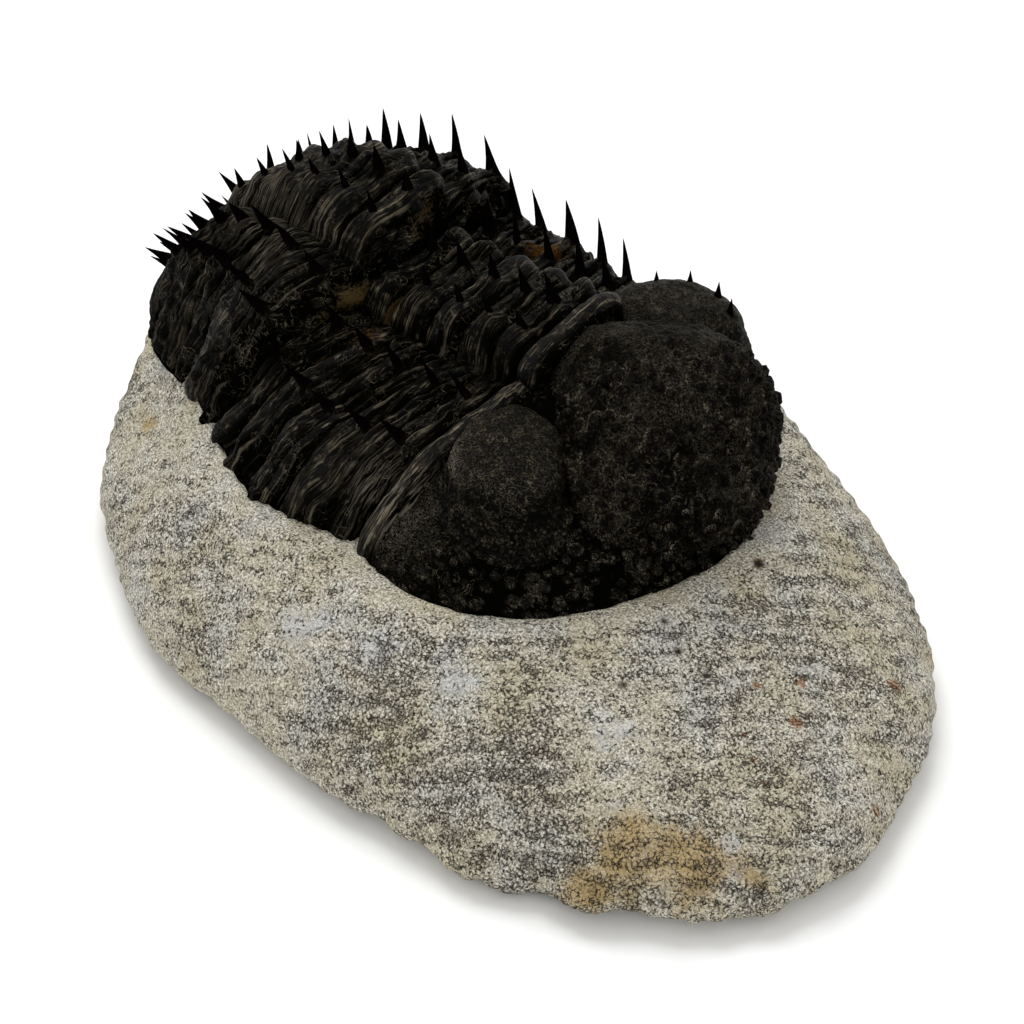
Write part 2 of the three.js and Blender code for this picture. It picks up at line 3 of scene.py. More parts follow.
import bmesh
import bpy
import numpy as np
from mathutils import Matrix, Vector


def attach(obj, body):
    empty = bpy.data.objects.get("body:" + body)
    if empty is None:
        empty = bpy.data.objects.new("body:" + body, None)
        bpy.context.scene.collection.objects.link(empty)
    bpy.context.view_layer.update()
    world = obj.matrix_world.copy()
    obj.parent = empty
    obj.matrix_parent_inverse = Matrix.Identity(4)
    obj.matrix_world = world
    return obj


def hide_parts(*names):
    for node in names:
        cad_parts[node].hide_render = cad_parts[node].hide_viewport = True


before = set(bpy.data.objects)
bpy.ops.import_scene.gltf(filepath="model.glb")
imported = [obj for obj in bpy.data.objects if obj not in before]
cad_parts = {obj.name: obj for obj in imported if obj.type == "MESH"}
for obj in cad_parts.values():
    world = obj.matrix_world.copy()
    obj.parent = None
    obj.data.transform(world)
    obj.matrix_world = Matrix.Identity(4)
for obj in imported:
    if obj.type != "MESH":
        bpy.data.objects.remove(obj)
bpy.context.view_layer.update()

# A black spiny trilobite on the block of limestone it was cleaned out of.
# Shapes are worked out in millimetres and turned to metres when a mesh is made. +X is where the head
# points, +Y is the animal's left, and the stone rests on z = 0.
mm = 0.001
fossilAt = np.array([3.0, 11.0, 0.0])  # the back of the head on the midline, in the stone's frame
edgeZ = 24.0  # height of the plates' lower edges
footZ = edgeZ - 1.2  # underside of the plates


def hashCells(x, y, z, seed):
    # A repeatable number between 0 and 1 for each whole-number cell
    h = ((x * 73856093) ^ (y * 19349663) ^ (z * 83492791) ^ (seed * 97531 + 40503)) & 0xFFFFFFFF
    h = ((h ^ (h >> 15)) * 1274126177) & 0xFFFFFFFF
    h = ((h ^ (h >> 13)) * 668265263) & 0xFFFFFFFF
    return ((h ^ (h >> 16)) & 0xFFFFFF) / float(0xFFFFFF)


def softNoise(points, size, seed):
    # Soft noise between -1 and 1, with bumps about size mm apart
    p = points / np.asarray(size, float) + 0.37 * seed
    cell = np.floor(p).astype(np.int64)
    f = p - cell
    f = f * f * (3 - 2 * f)
    total = 0.0
    for dx in (0, 1):
        for dy in (0, 1):
            for dz in (0, 1):
                weight = (f[..., 0] if dx else 1 - f[..., 0]) * (f[..., 1] if dy else 1 - f[..., 1])
                weight = weight * (f[..., 2] if dz else 1 - f[..., 2])
                total = total + weight * hashCells(cell[..., 0] + dx, cell[..., 1] + dy, cell[..., 2] + dz, seed)
    return 2 * total - 1


def roughNoise(points, size, seed, octaves=3):
    total, weight = 0.0, 1.0
    for k in range(octaves):
        total = total + weight * softNoise(points, np.asarray(size, float) / 2 ** k, seed + 11 * k)
        weight *= 0.55
    return total


def smoothStep(low, high, x):
    t = np.clip((x - low) / (high - low), 0, 1)
    return t * t * (3 - 2 * t)


def bell(x, width):
    return np.exp(-((x / width) ** 2))


def curveThrough(xs, ys, x):
    # The value at x on a smooth curve through the points
    xs, ys = np.asarray(xs, float), np.asarray(ys, float)
    slope = np.gradient(ys, xs)
    i = np.clip(np.searchsorted(xs, x, side="right") - 1, 0, len(xs) - 2)
    h = xs[i + 1] - xs[i]
    t = np.clip((x - xs[i]) / h, 0, 1)
    a = (1 + 2 * t) * (1 - t) ** 2 * ys[i] + t * t * (3 - 2 * t) * ys[i + 1]
    return a + h * (t * (1 - t) ** 2 * slope[i] - t * t * (1 - t) * slope[i + 1])


def closedCurve(points, count):
    # count points on a smooth closed curve (centripetal spacing)
    p = np.asarray(points, float)
    n = len(p)
    out = []
    for k in range(count):
        at = k / count * n
        i, t = int(at) % n, at - int(at)
        a, b, c, d = p[i - 1], p[i], p[(i + 1) % n], p[(i + 2) % n]
        t0, t1, t2 = (np.linalg.norm(q - r) ** 0.5 for q, r in ((b, a), (c, b), (d, c)))
        m1 = ((b - a) / t0 - (c - a) / (t0 + t1) + (c - b) / t1) * t1
        m2 = ((c - b) / t1 - (d - b) / (t1 + t2) + (d - c) / t2) * t1
        out.append((2 * b - 2 * c + m1 + m2) * t ** 3 + (3 * c - 3 * b - 2 * m1 - m2) * t ** 2 + m1 * t + b)
    return np.array(out)


def gridFaces(rows, columns, wrapRows=False, wrapColumns=False):
    # The quads between neighbouring points of a grid
    r = np.arange(rows if wrapRows else rows - 1)[:, None]
    c = np.arange(columns if wrapColumns else columns - 1)[None, :]
    r2, c2 = (r + 1) % rows, (c + 1) % columns
    corners = [r * columns + c, r * columns + c2, r2 * columns + c2, r2 * columns + c]
    return np.stack([np.broadcast_to(q, (len(r), c.shape[1])) for q in corners], -1).reshape(-1, 4)


def fan(ring, centre, reverse=False):
    # Triangles from a closed ring of point numbers to a centre point
    after = np.roll(ring, -1)
    pairs = (after, ring) if reverse else (ring, after)
    return np.stack([*pairs, np.full(len(ring), centre)], -1)


def surfaceNormals(points):
    # Outward directions of a grid of points, from its neighbours
    n = np.cross(np.gradient(points, axis=1), np.gradient(points, axis=0))
    n /= np.maximum(np.linalg.norm(n, axis=-1, keepdims=True), 1e-9)
    return n if n[..., 2].mean() > 0 else -n


def makePiece(name, parts, material, nodes):
    # One mesh object from several closed parts. Each part has points in mm and faces, and may have values
    # for its points that the material reads by name.
    points, quads, tris, count = [], [], [], 0
    for part in parts:
        points.append(part["points"])
        quads.append(part["quads"] + count)
        if len(part["tris"]):
            tris.append(part["tris"] + count)
        count += len(part["points"])
    faces = np.concatenate(quads).tolist() + (np.concatenate(tris).tolist() if tris else [])
    mesh = bpy.data.meshes.new(name)
    mesh.from_pydata((np.concatenate(points) * mm).tolist(), [], faces)
    for key in sorted({key for part in parts for key in part} - {"points", "quads", "tris"}):
        vector = key == "grain"
        blank = [np.zeros((len(p), 3) if vector else len(p)) for p in points]
        data = np.concatenate([part.get(key, zero) for part, zero in zip(parts, blank)])
        attribute = mesh.attributes.new(key, "FLOAT_VECTOR" if vector else "FLOAT", "POINT")
        attribute.data.foreach_set("vector" if vector else "value", data.astype(np.float32).ravel())
    work = bmesh.new()
    work.from_mesh(mesh)
    bmesh.ops.recalc_face_normals(work, faces=work.faces)
    work.to_mesh(mesh)
    work.free()
    mesh.polygons.foreach_set("use_smooth", [True] * len(mesh.polygons))
    mesh.materials.append(material)
    piece = bpy.data.objects.new(name, mesh)
    bpy.context.scene.collection.objects.link(piece)
    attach(piece, "root")
    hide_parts(*nodes)
    print("made", name, len(faces), "faces")


def linearColour(hexColour):
    # sRGB hex to the linear values that Blender mixes with
    channels = [int(hexColour[i:i + 2], 16) / 255 for i in (1, 3, 5)]
    return tuple(c / 12.92 if c <= 0.04045 else ((c + 0.055) / 1.055) ** 2.4 for c in channels) + (1.0,)


def addNode(tree, kind, settings, inputs):
    # A node with its settings and, for each input, a fixed value or the node or socket that feeds it.
    # A node feeds from its first output in use.
    node = tree.nodes.new("ShaderNode" + kind)
    for key, value in settings.items():
        setattr(node, key, value)
    for key, value in inputs.items():
        if isinstance(value, bpy.types.Node):
            value = next(output for output in value.outputs if output.enabled)
        if isinstance(value, bpy.types.NodeSocket):
            tree.links.new(value, node.inputs[key])
        else:
            node.inputs[key].default_value = value
    return node


def newMaterial(name):
    material = bpy.data.materials.new(name)
    material.use_nodes = True
    material.node_tree.nodes.clear()
    return material


# settings that many nodes share
smooth = {"interpolation_type": "SMOOTHSTEP"}
mixColours = {"data_type": "RGBA"}
times = {"operation": "MULTIPLY"}
timesPlus = {"operation": "MULTIPLY_ADD"}
less = {"operation": "SUBTRACT", "use_clamp": True}

blackCalcite = {
    "shell": "#040403",  # dark brown-black mineral
    "paintedSheen": "#08090c",  # painted sheen: a slightly blue tone on the tops of the lobes, standing in for the light they catch
    "brown": "#171008",
    "streak": "#766d5a",  # lime left in the fine lines; where the lines run on the ridges it is also painted highlight
    "matrix": "#4a3c24",  # stone between the plates
    "rust": "#523515",
    "horn": "#050303",
    "pale": "#857d6e",
    "patch": 5.0, "fine": 0.5, "veinSpacing": 2.4,  # mm
    "brownPerMm": 0.3, "scratchPerMm": 0.55,  # how close the brown and the scratched patches lie
    # width and length of a line in mm, how fast lines change from rib to rib, and how far they bend
    "longLines": (0.38, 6.5, 1.0, 0.7), "shortLines": (0.2, 2.0, 1.4, 0.9),
    "bump": 0.4,  # mm
    "ior": 1.6,  # calcite
    "specular": (0.0, 0.06),  # in the hollows and on the ridges
    "roughness": (0.36, 0.6),
}


def shellMaterial():
    # Calcite shell, blackened and cleaned with an air scriber: nearly black and half matt, with a painted bluish
    # sheen on the ridges, pale lime lines along the ribs that are painted brightest on the ridges as painted
    # highlight, and brown stone in the joints
    look = blackCalcite
    material = newMaterial("Scribed_black_calcite")
    t = material.node_tree
    place = addNode(t, "TexCoord", {}, {}).outputs["Object"]
    here = addNode(t, "VectorMath", {"operation": "SCALE"}, {0: place, "Scale": 1 / mm})
    grain = addNode(t, "Attribute", {"attribute_name": "grain"}, {}).outputs["Vector"]
    # crest is -1 in the hollows and 1 on the ridges; it also places the painted sheen and the painted highlight
    # lines on the ridges
    dust, rust, horn, pale, crest = (addNode(t, "Attribute", {"attribute_name": key}, {}).outputs["Fac"]
                                     for key in ("dust", "rust", "horn", "pale", "crest"))
    ridge = addNode(t, "MapRange", {}, {"Value": crest, 1: -0.3, 2: 0.8})
    patches = addNode(t, "TexNoise", {}, {
        "Vector": here, "Scale": 1 / look["patch"], "Detail": 3.0, "Distortion": 0.5})
    fine = addNode(t, "TexNoise", {}, {"Vector": here, "Scale": 1 / look["fine"], "Detail": 4.0})
    brownWhere = addNode(t, "TexNoise", {}, {"Vector": here, "Scale": look["brownPerMm"], "Detail": 3.0})
    # lines along the grain come from noises squeezed across it
    lineNoises = []
    for across, along, change, bend in (look["longLines"], look["shortLines"]):
        squeezed = addNode(t, "Mapping", {}, {"Vector": grain, "Scale": (1 / across, 1 / along, change)})
        lineNoises.append(addNode(t, "TexNoise", {}, {
            "Vector": squeezed, "Scale": 1.0, "Detail": 3.0, "Distortion": bend}))
    streaks, strokes = lineNoises
    # painted sheen: the ridges are lightened towards a bluish tone in patches, as if light caught them
    paintedSheenOnRidges = addNode(t, "MapRange", {}, {"Value": patches, 1: 0.4, 2: 0.62, 4: ridge})
    brown = addNode(t, "MapRange", {}, {"Value": brownWhere, 1: 0.5, 2: 0.68, 4: ridge})
    # pale lime lines, kept to the ridges where they also serve as painted highlight
    line = addNode(t, "MapRange", smooth, {"Value": streaks, 1: 0.57, 2: 0.68})
    lineWhere = addNode(t, "MapRange", {}, {"Value": brownWhere, 1: 0.36, 2: 0.6, 3: 0.1, 4: 0.9})
    lines = addNode(t, "Math", times, {0: line, 1: lineWhere})
    lines = addNode(t, "Math", times, {0: lines, 1: ridge})
    # short pale scratches from the scriber, in patches, kept to the ridges where they also serve as painted
    # highlight
    scratch = addNode(t, "MapRange", smooth, {"Value": strokes, 1: 0.51, 2: 0.62, 4: ridge})
    scratchWhere = addNode(t, "TexNoise", {}, {"Vector": here, "Scale": look["scratchPerMm"], "Detail": 3.0})
    scratchWhere = addNode(t, "MapRange", {}, {"Value": scratchWhere, 1: 0.47, 2: 0.66, 4: 0.9})
    scratchesAndHighlight = addNode(t, "Math", times, {0: scratch, 1: scratchWhere})
    # hair veins follow the middle value of a bent noise
    bent = addNode(t, "TexNoise", {}, {
        "Vector": here, "Scale": 1 / look["veinSpacing"], "Detail": 3.0, "Distortion": 1.3})
    off = addNode(t, "Math", {"operation": "SUBTRACT"}, {0: bent, 1: 0.5})
    off = addNode(t, "Math", {"operation": "ABSOLUTE"}, {0: off})
    veinWhere = addNode(t, "MapRange", {}, {"Value": patches, 1: 0.46, 2: 0.6, 3: 0.0, 4: 0.5})
    vein = addNode(t, "MapRange", smooth, {"Value": off, 1: 0.0, 2: 0.012, 3: veinWhere, 4: 0.0})
    # scraped places show pale calcite in broken strokes; the same strokes carry the painted highlight crescents
    # beside the pustules and tubercles
    stroke = addNode(t, "MapRange", smooth, {"Value": strokes, 1: 0.46, 2: 0.62})
    paleStrokesAndHighlight = addNode(t, "Math", times, {0: stroke, 1: pale})
    grit = addNode(t, "Math", {"operation": "ADD"}, {0: fine, 1: dust})
    dusty = addNode(t, "MapRange", smooth, {"Value": grit, 1: 0.95, 2: 1.3, 4: 0.85})
    rustGrit = addNode(t, "Math", {"operation": "ADD"}, {0: fine, 1: rust})
    rusty = addNode(t, "MapRange", smooth, {"Value": rustGrit, 1: 0.9, 2: 1.4, 4: 0.75})
    tone = linearColour(look["shell"])
    for amount, colour in ((paintedSheenOnRidges, "paintedSheen"), (brown, "brown"), (lines, "streak"), (scratchesAndHighlight, "streak"),
                           (vein, "streak"), (paleStrokesAndHighlight, "pale"), (dusty, "matrix"), (rusty, "rust"),
                           (horn, "horn")):
        tone = addNode(t, "Mix", mixColours, {0: amount, 6: tone, 7: linearColour(look[colour])})
    relief = addNode(t, "Math", timesPlus, {0: streaks, 1: 0.8, 2: fine})
    relief = addNode(t, "Math", timesPlus, {0: strokes, 1: 0.8, 2: relief})
    bump = addNode(t, "Bump", {}, {"Height": relief, "Strength": 0.8, "Distance": look["bump"] * mm})
    smoothest, roughest = look["roughness"]
    roughness = addNode(t, "MapRange", {}, {"Value": fine, 1: 0.3, 2: 0.7, 3: smoothest, 4: roughest})
    # horns and dusty places have no sheen
    clean = addNode(t, "Math", less, {0: ridge, 1: horn})
    clean = addNode(t, "Math", less, {0: clean, 1: dust})
    specular = addNode(t, "MapRange", {}, {"Value": clean, 3: look["specular"][0], 4: look["specular"][1]})
    shader = addNode(t, "BsdfPrincipled", {}, {
        "Base Color": tone, "IOR": look["ior"], "Specular IOR Level": specular,
        "Roughness": roughness, "Normal": bump})
    addNode(t, "OutputMaterial", {}, {"Surface": shader})
    return material


limestoneLook = {
    "light": "#f3efe1", "shade": "#857f70",
    "warm": "#c2b48c", "cool": "#b9bdbe",
    "pit": "#241c13",  # the dark floor of the pits between the grains
    "smudge": "#6a6355",
    "chalk": "#d2d4d4", "ochre": "#b0945c", "rust": "#8f5a26",
    "grain": 0.62, "cluster": 2.4, "cloud": 13.0, "bedding": 3.0, "dots": 3.4,  # mm
    # how close these patterns lie
    "wobblePerMm": 1.3, "breakPerMm": 1.7, "specklePerMm": 2.9, "tintPerMm": 0.12, "edgePerMm": 0.25,
    "bedNormal": (-0.40, 0.55, 0.73),  # so that the beds' traces run level across the near face
    "bump": 0.4,  # mm
    "ior": 1.5, "specular": 0.2, "roughness": 0.92,
}


def stoneMaterial():
    # Fine-grained limestone, chiselled and then air-abraded: pale matt grains with dark pits between
    # them that gather in wavy rows along the bedding, ochre and rust where iron has weathered
    look = limestoneLook
    material = newMaterial("Air_abraded_limestone")
    t = material.node_tree
    place = addNode(t, "TexCoord", {}, {}).outputs["Object"]
    here = addNode(t, "VectorMath", {"operation": "SCALE"}, {0: place, "Scale": 1 / mm})
    ochre, chalk, rust, worked, hole = (addNode(t, "Attribute", {"attribute_name": key}, {}).outputs["Fac"]
                                        for key in ("ochre", "chalk", "rust", "worked", "hole"))
    wobble, breaks, speckle, clusters, clouds, tint, edge = (
        addNode(t, "TexNoise", {}, {"Vector": here, "Scale": scale, "Detail": detail})
        for scale, detail in ((look["wobblePerMm"], 2.0), (look["breakPerMm"], 2.0),
                              (look["specklePerMm"], 3.0), (1 / look["cluster"], 3.0),
                              (1 / look["cloud"], 2.0), (look["tintPerMm"], 4.0), (look["edgePerMm"], 5.0)))
    bent = addNode(t, "VectorMath", timesPlus, {0: wobble.outputs["Color"], 1: (0.8, 0.8, 0.8), 2: here})
    # thin dark arcs between the grains: a net of cell edges, broken up by a fine noise
    cells = addNode(t, "TexVoronoi", {"feature": "DISTANCE_TO_EDGE"}, {
        "Vector": bent, "Scale": 1 / look["grain"]})
    net = addNode(t, "MapRange", smooth, {"Value": cells, 1: 0.03, 2: 0.17, 3: 1.0, 4: 0.0})
    bed = addNode(t, "VectorMath", {"operation": "DOT_PRODUCT"}, {0: bent, 1: look["bedNormal"]})
    wave = addNode(t, "Math", timesPlus, {0: clouds, 1: 9.0, 2: bed})
    phase = addNode(t, "Math", times, {0: wave, 1: 2 * math.pi / look["bedding"]})
    rows = addNode(t, "Math", {"operation": "SINE"}, {0: phase})
    # where the pits gather: in clusters, clouds and rows, and less on worked stone
    dense = breaks
    for pattern, weight in ((clouds, 0.35), (clusters, 0.6), (rows, 0.06), (worked, -0.16)):
        dense = addNode(t, "Math", timesPlus, {0: pattern, 1: weight, 2: dense})
    pitted = addNode(t, "MapRange", smooth, {"Value": dense, 1: 0.92, 2: 1.04})
    depth = addNode(t, "MapRange", {}, {"Value": speckle, 1: 0.4, 2: 0.65, 3: 1.0, 4: 0.6})
    pits = addNode(t, "Math", times, {0: net, 1: pitted})
    pits = addNode(t, "Math", times, {0: pits, 1: depth})
    dots = addNode(t, "TexVoronoi", {"feature": "F1"}, {"Vector": bent, "Scale": 1 / look["dots"]})
    dot = addNode(t, "MapRange", smooth, {
        "Value": dots.outputs["Distance"], 1: 0.04, 2: 0.085, 3: 1.0, 4: 0.0})
    for more in (dot, hole):
        pits = addNode(t, "Math", {"operation": "MAXIMUM"}, {0: pits, 1: more})
    lightness = addNode(t, "MapRange", {}, {"Value": speckle, 1: 0.38, 2: 0.64})
    warm = addNode(t, "MapRange", {}, {"Value": tint, 1: 0.42, 2: 0.7, 4: 0.5})
    cool = addNode(t, "MapRange", {}, {"Value": tint, 1: 0.44, 2: 0.3, 4: 0.3})
    smudge = addNode(t, "MapRange", smooth, {"Value": dense, 1: 1.02, 2: 1.2, 4: 0.6})
    # stains with ragged edges
    stains = []
    for stain, rag, low, high, most in ((chalk, edge, 0.85, 1.25, 0.7), (ochre, edge, 0.85, 1.4, 0.8),
                                        (rust, breaks, 1.0, 1.4, 0.85)):
        ragged = addNode(t, "Math", {"operation": "ADD"}, {0: stain, 1: rag})
        stains.append(addNode(t, "MapRange", smooth, {"Value": ragged, 1: low, 2: high, 4: most}))
    tone = linearColour(look["shade"])
    amounts = (lightness, warm, cool, *stains, smudge, pits)
    for amount, colour in zip(amounts, ("light", "warm", "cool", "chalk", "ochre", "rust", "smudge", "pit")):
        tone = addNode(t, "Mix", mixColours, {0: amount, 6: tone, 7: linearColour(look[colour])})
    rounded = addNode(t, "MapRange", {}, {"Value": cells, 1: 0.0, 2: 0.35})
    relief = addNode(t, "Math", timesPlus, {0: rounded, 1: 0.8, 2: speckle})
    relief = addNode(t, "Math", {"operation": "SUBTRACT"}, {0: relief, 1: pits})
    bump = addNode(t, "Bump", {}, {"Height": relief, "Strength": 0.9, "Distance": look["bump"] * mm})
    shader = addNode(t, "BsdfPrincipled", {}, {
        "Base Color": tone, "IOR": look["ior"], "Specular IOR Level": look["specular"],
        "Roughness": look["roughness"], "Normal": bump})
    addNode(t, "OutputMaterial", {}, {"Surface": shader})
    return material


shell = shellMaterial()
limestone = stoneMaterial()
print("materials ready")

# Sections across the back, from the head to the tail. x and z place the crest, right and left are the two
# widths, axial is half the middle lobe and arch its height. Lower edges are pushed back by lean and sweep.
frontSections = {
    "x": [-3, -16, -29.5], "z": [51.5, 50.8, 51.5], "right": [35.5, 35.5, 26], "left": [31.8, 38.3, 39.5],
    "axial": [11, 10.8, 10.3], "arch": [6, 6, 6], "lean": [0, 2, 4], "sweep": [12, 16, 16],
}
rearSections = {
    "x": [-30.5, -40, -50, -60.5, -68, -74, -77.5], "z": [59.5, 62.5, 59, 50.5, 42, 33.5, 26.5],
    "right": [26, 19, 15, 11.5, 8.5, 6, 3.5], "left": [41, 36.5, 28.6, 20.7, 14.6, 9, 4.5],
    "axial": [10, 9.2, 8, 6.4, 4.8, 3.2, 1.6], "arch": [7, 7, 6.5, 5.5, 4.2, 2.6, 1],
    "lean": [4, 6, 6, 4, 2, 1, 0], "sweep": [16, 14, 12, 9, 6, 3, 1.5],
}
leftSweep = 0.55  # the left side is swept less
tailFrom, tailTo = 3.0, 6  # positions in the rear sections
lobeShape = ([0, 0.8, 1], [0, 0.25, 1])  # share of the width against share of the fall
ribShape = ([0, 0.4, 0.66, 0.87, 1], [0, 0.09, 0.29, 0.62, 1])

# Stone left between the plates: place in the fossil's frame (mm), radius and strength.
matrixAt = [((-28, -14, 46), 9, 1.1), ((-21, 20, 44), 7, 1.1), ((-24, 6, 51), 5, 0.8), ((-60, -6, 50), 4.5, 0.8),
            ((-30, 4, 55), 8, 0.6), ((-9, 14, 45), 5, 0.7), ((-24, -24, 40), 6, 0.6), ((-16, 12, 46), 5, 0.6)]
rustAt = [((-21, 20, 44), 4.5, 0.8), ((-28, -15, 45), 4.2, 0.6)]
scrapedAt = [((-56, -4, 54), 6, 0.5), ((-48, -9, 53), 6, 0.4), ((-10, -33, 33), 7, 0.5), ((-4, 13, 45), 4, 0.6)]


def spots(points, places):
    # How strongly each point lies in one of some round places
    total = np.zeros(points.shape[:-1])
    for place, radius, strength in places:
        away = np.linalg.norm(points - np.array(place, float), axis=-1)
        total = np.maximum(total, strength * bell(away, radius))
    return total


def sectionAt(sections, u):
    # The section at positions u, with every measure on a smooth curve
    last = len(sections["x"]) - 1
    u = np.asarray(u, float)
    i = np.clip(np.floor(u).astype(int), 0, last - 1)
    t = u - i
    out = {}
    for key, values in sections.items():
        v = np.asarray(values, float)
        a, b, c, d = (v[np.clip(i + k, 0, last)] for k in (-1, 0, 1, 2))
        square, cube = 2 * a - 5 * b + 4 * c - d, 3 * b - 3 * c + d - a
        out[key] = 0.5 * (2 * b + (c - a) * t + square * t ** 2 + cube * t ** 3)
    return out


def evenGrain(points):
    # Grain coordinates that turn the fine lines into specks
    return points * [0.7, 12.0, 1.8]


def roundFall(share, power, root):
    # Share of the fall at a share of the width: a round version of the straight lines above
    return 1 - (1 - np.clip(share, 0, 1) ** power) ** root


def columnsAcross(lobeColumns, ribColumns):
    # For each column from the left edge to the right edge: side, on the rib or not, and share of the width
    even = np.linspace(0, 1, ribColumns + 1)[1:]
    rib = 0.45 * np.sin(even * math.pi / 2) + 0.55 * (1 - (1 - even) ** 1.35)
    lobe = np.linspace(0, 1, lobeColumns + 1) ** 0.85
    half = [(False, w) for w in lobe] + [(True, w) for w in rib]
    columns = [(1, on, w) for on, w in reversed(half[1:])] + [(-1, on, w) for on, w in half]
    side, onRib, share = zip(*columns)
    return np.array(side, float), np.array(onRib), np.array(share)


def backPoints(section, side, onRib, share):
    # Points of the bare surface, a row for each section and a column for each share of the width
    s = {key: np.asarray(v)[:, None] for key, v in section.items()}
    width = np.where(side > 0, s["left"], s["right"])
    fall = s["z"] - edgeZ - s["arch"]
    y = np.where(onRib, s["axial"] + share * (width - s["axial"]), share * s["axial"])
    drop = np.where(onRib, s["arch"] + roundFall(share, 2, 0.62) * fall, roundFall(share, 2.6, 0.385) * s["arch"])
    back = s["lean"] * drop / (s["z"] - edgeZ) + s["sweep"] * (y / width) ** 2
    return np.stack([s["x"] - back * np.where(side > 0, leftSweep, 1), side * y, s["z"] - drop], -1), y


def bentJoints(points):
    # Joints between plates wander a little, the same on both sides of the joint
    flat = points * [1, 1, 0]
    out = points.copy()
    out[..., 0] += 0.55 * softNoise(flat, 6.5, 91) + 0.25 * softNoise(flat, 2.6, 92)
    return out


def unevenness(x, y, z):
    # The same repeatable number between -1 and 1 that the solid model uses
    n = math.sin(x * 127.1 + y * 311.7 + z * 74.7) * 43758.5453
    return 2 * (n - math.floor(n)) - 1


spines = {
    "rows": [("lobe", 0.08, 5.6), ("lobe", -0.6, 5.4), ("rib", 0.24, 6.4), ("rib", -0.24, 5.6), ("rib", 0.6, 7.4),
             ("rib", -0.62, 6)],  # place as a share of the lobe or of the rib, and length in mm
    "radius": 0.85, "sides": 12,
    # share of the length against share of the radius
    "outline": [(-0.24, 2.5), (-0.06, 1.95), (0.06, 1.5), (0.17, 1.2), (0.32, 0.95), (0.52, 0.67), (0.72, 0.4),
                (0.9, 0.17)],
    "collar": 0.6,  # height of the swelling round a spine's foot
}


def spineBases(section, rows, scale, seed, tipped):
    # Where the spines of one plate stand, as base, direction and length. They lean back towards the lower
    # edge, and the tail's are tipped further.
    s = {key: float(np.asarray(v).reshape(-1)[0]) for key, v in section.items()}
    fall = s["z"] - edgeZ - s["arch"]
    found = []
    for i, (kind, place, length) in enumerate(rows):
        share, side = abs(place), -1 if place < 0 else 1
        width = s["left"] if side > 0 else s["right"]
        if kind == "rib":
            y, drop = s["axial"] + share * (width - s["axial"]), s["arch"] + np.interp(share, *ribShape) * fall
        else:
            y, drop = share * s["axial"], np.interp(share, *lobeShape) * s["arch"]
        out = y / width
        back = s["lean"] * drop / (s["z"] - edgeZ) + s["sweep"] * out ** 2
        base = np.array([s["x"] - back * (leftSweep if side > 0 else 1), side * y, s["z"] - drop])
        leanBack = 0.12 + 0.8 * out ** 2 + tipped - 0.16 * unevenness(seed, i, 3)
        direction = np.array([-leanBack, side * 0.9 * out ** 1.5, 1 - 0.35 * tipped])
        grown = length * scale * (1 + 0.14 * unevenness(seed, i, 7))
        found.append((base, direction / np.linalg.norm(direction), grown))
    return found


def spinePart(base, direction, length, radius, seed):
    # A horn with a flared foot, slightly bent back, closed at both ends
    steps, sides = spines["outline"], spines["sides"]
    across = np.cross([1.0, 0.0, 0.0], direction)
    across /= np.linalg.norm(across)
    third = np.cross(direction, across)
    bend = np.array([-0.09 * length, 0, 0])
    angle = np.arange(sides) * 2 * math.pi / sides
    circle = np.cos(angle)[:, None] * across + np.sin(angle)[:, None] * third
    rows = []
    for k, (share, width) in enumerate(steps):
        centre = base + direction * share * length + bend * max(0, share) ** 2
        uneven = 1 + 0.1 * np.sin(2 * angle + seed + k * 0.7) + 0.05 * np.sin(5 * angle + 2 * seed)
        rows.append(centre + circle * (radius * width * uneven)[:, None])
    points = np.concatenate([*rows, [base + direction * length + bend], [base - 0.3 * length * direction]])
    n = len(steps)
    ring = np.arange(sides)
    tris = np.concatenate([fan((n - 1) * sides + ring, n * sides), fan(ring, n * sides + 1, True)])
    horn = np.concatenate([np.repeat([smoothStep(0.0, 0.25, s) for s, _ in steps], sides), [1, 0]])
    return {"points": points, "quads": gridFaces(n, sides, wrapColumns=True), "tris": tris,
            "horn": horn, "grain": points[:, [1, 2, 0]]}


def plateLoops(top, wallRows, rugged=0.0):
    # Closed loops round a plate: over the top, down behind, and up in front, where the wall may be rugged
    down = np.linspace(0, 1, wallRows + 1)[1:, None]
    walls = []
    for edge in (top[-1], top[0]):
        wall = np.repeat(edge[None], wallRows, 0)
        wall[..., 2] += (footZ - edge[:, 2]) * down
        walls.append(wall)
    behind, before = walls
    inner = np.sin(np.linspace(0, math.pi, wallRows))[:, None] ** 0.5
    before[..., 0] += rugged * inner * (0.4 + roughNoise(before, (3.0, 4.5, 2.2), 77, 4))
    return np.concatenate([top, behind, before[::-1]], 0)


def closedTube(loops, **values):
    # A closed mesh from loops (rows round the tube, columns along it)
    rows, columns = loops.shape[:2]
    ends = [loops[:, 0].mean(0), loops[:, -1].mean(0)]
    n = rows * columns
    ring = np.arange(rows) * columns
    tris = np.concatenate([fan(ring, n), fan(ring + columns - 1, n + 1, True)])
    points = np.concatenate([loops.reshape(-1, 3), ends])
    part = {"points": points, "quads": gridFaces(rows, columns, wrapRows=True), "tris": tris}
    for key, value in values.items():
        flat = value.reshape(n, -1)
        flat = np.concatenate([flat, flat[:2]])
        part[key] = flat if key == "grain" else flat[:, 0]
    return part


def raisedBy(base, lift):
    # The surface raised by lift, with its two side edges kept
    top = base + surfaceNormals(base) * lift[..., None]
    top[:, [0, -1]] = base[:, [0, -1]]
    return top


def withWalls(paintedSheenOnRidges, walls, onWalls=0.0):
    # Values for the points on top of a plate and on its walls
    return np.concatenate([paintedSheenOnRidges, np.broadcast_to(onWalls, walls.shape[:2])])


def inStone(parts):
    # Moves parts from the fossil's frame to the stone's
    for part in parts:
        part["points"] = part["points"] + fossilAt
    return parts


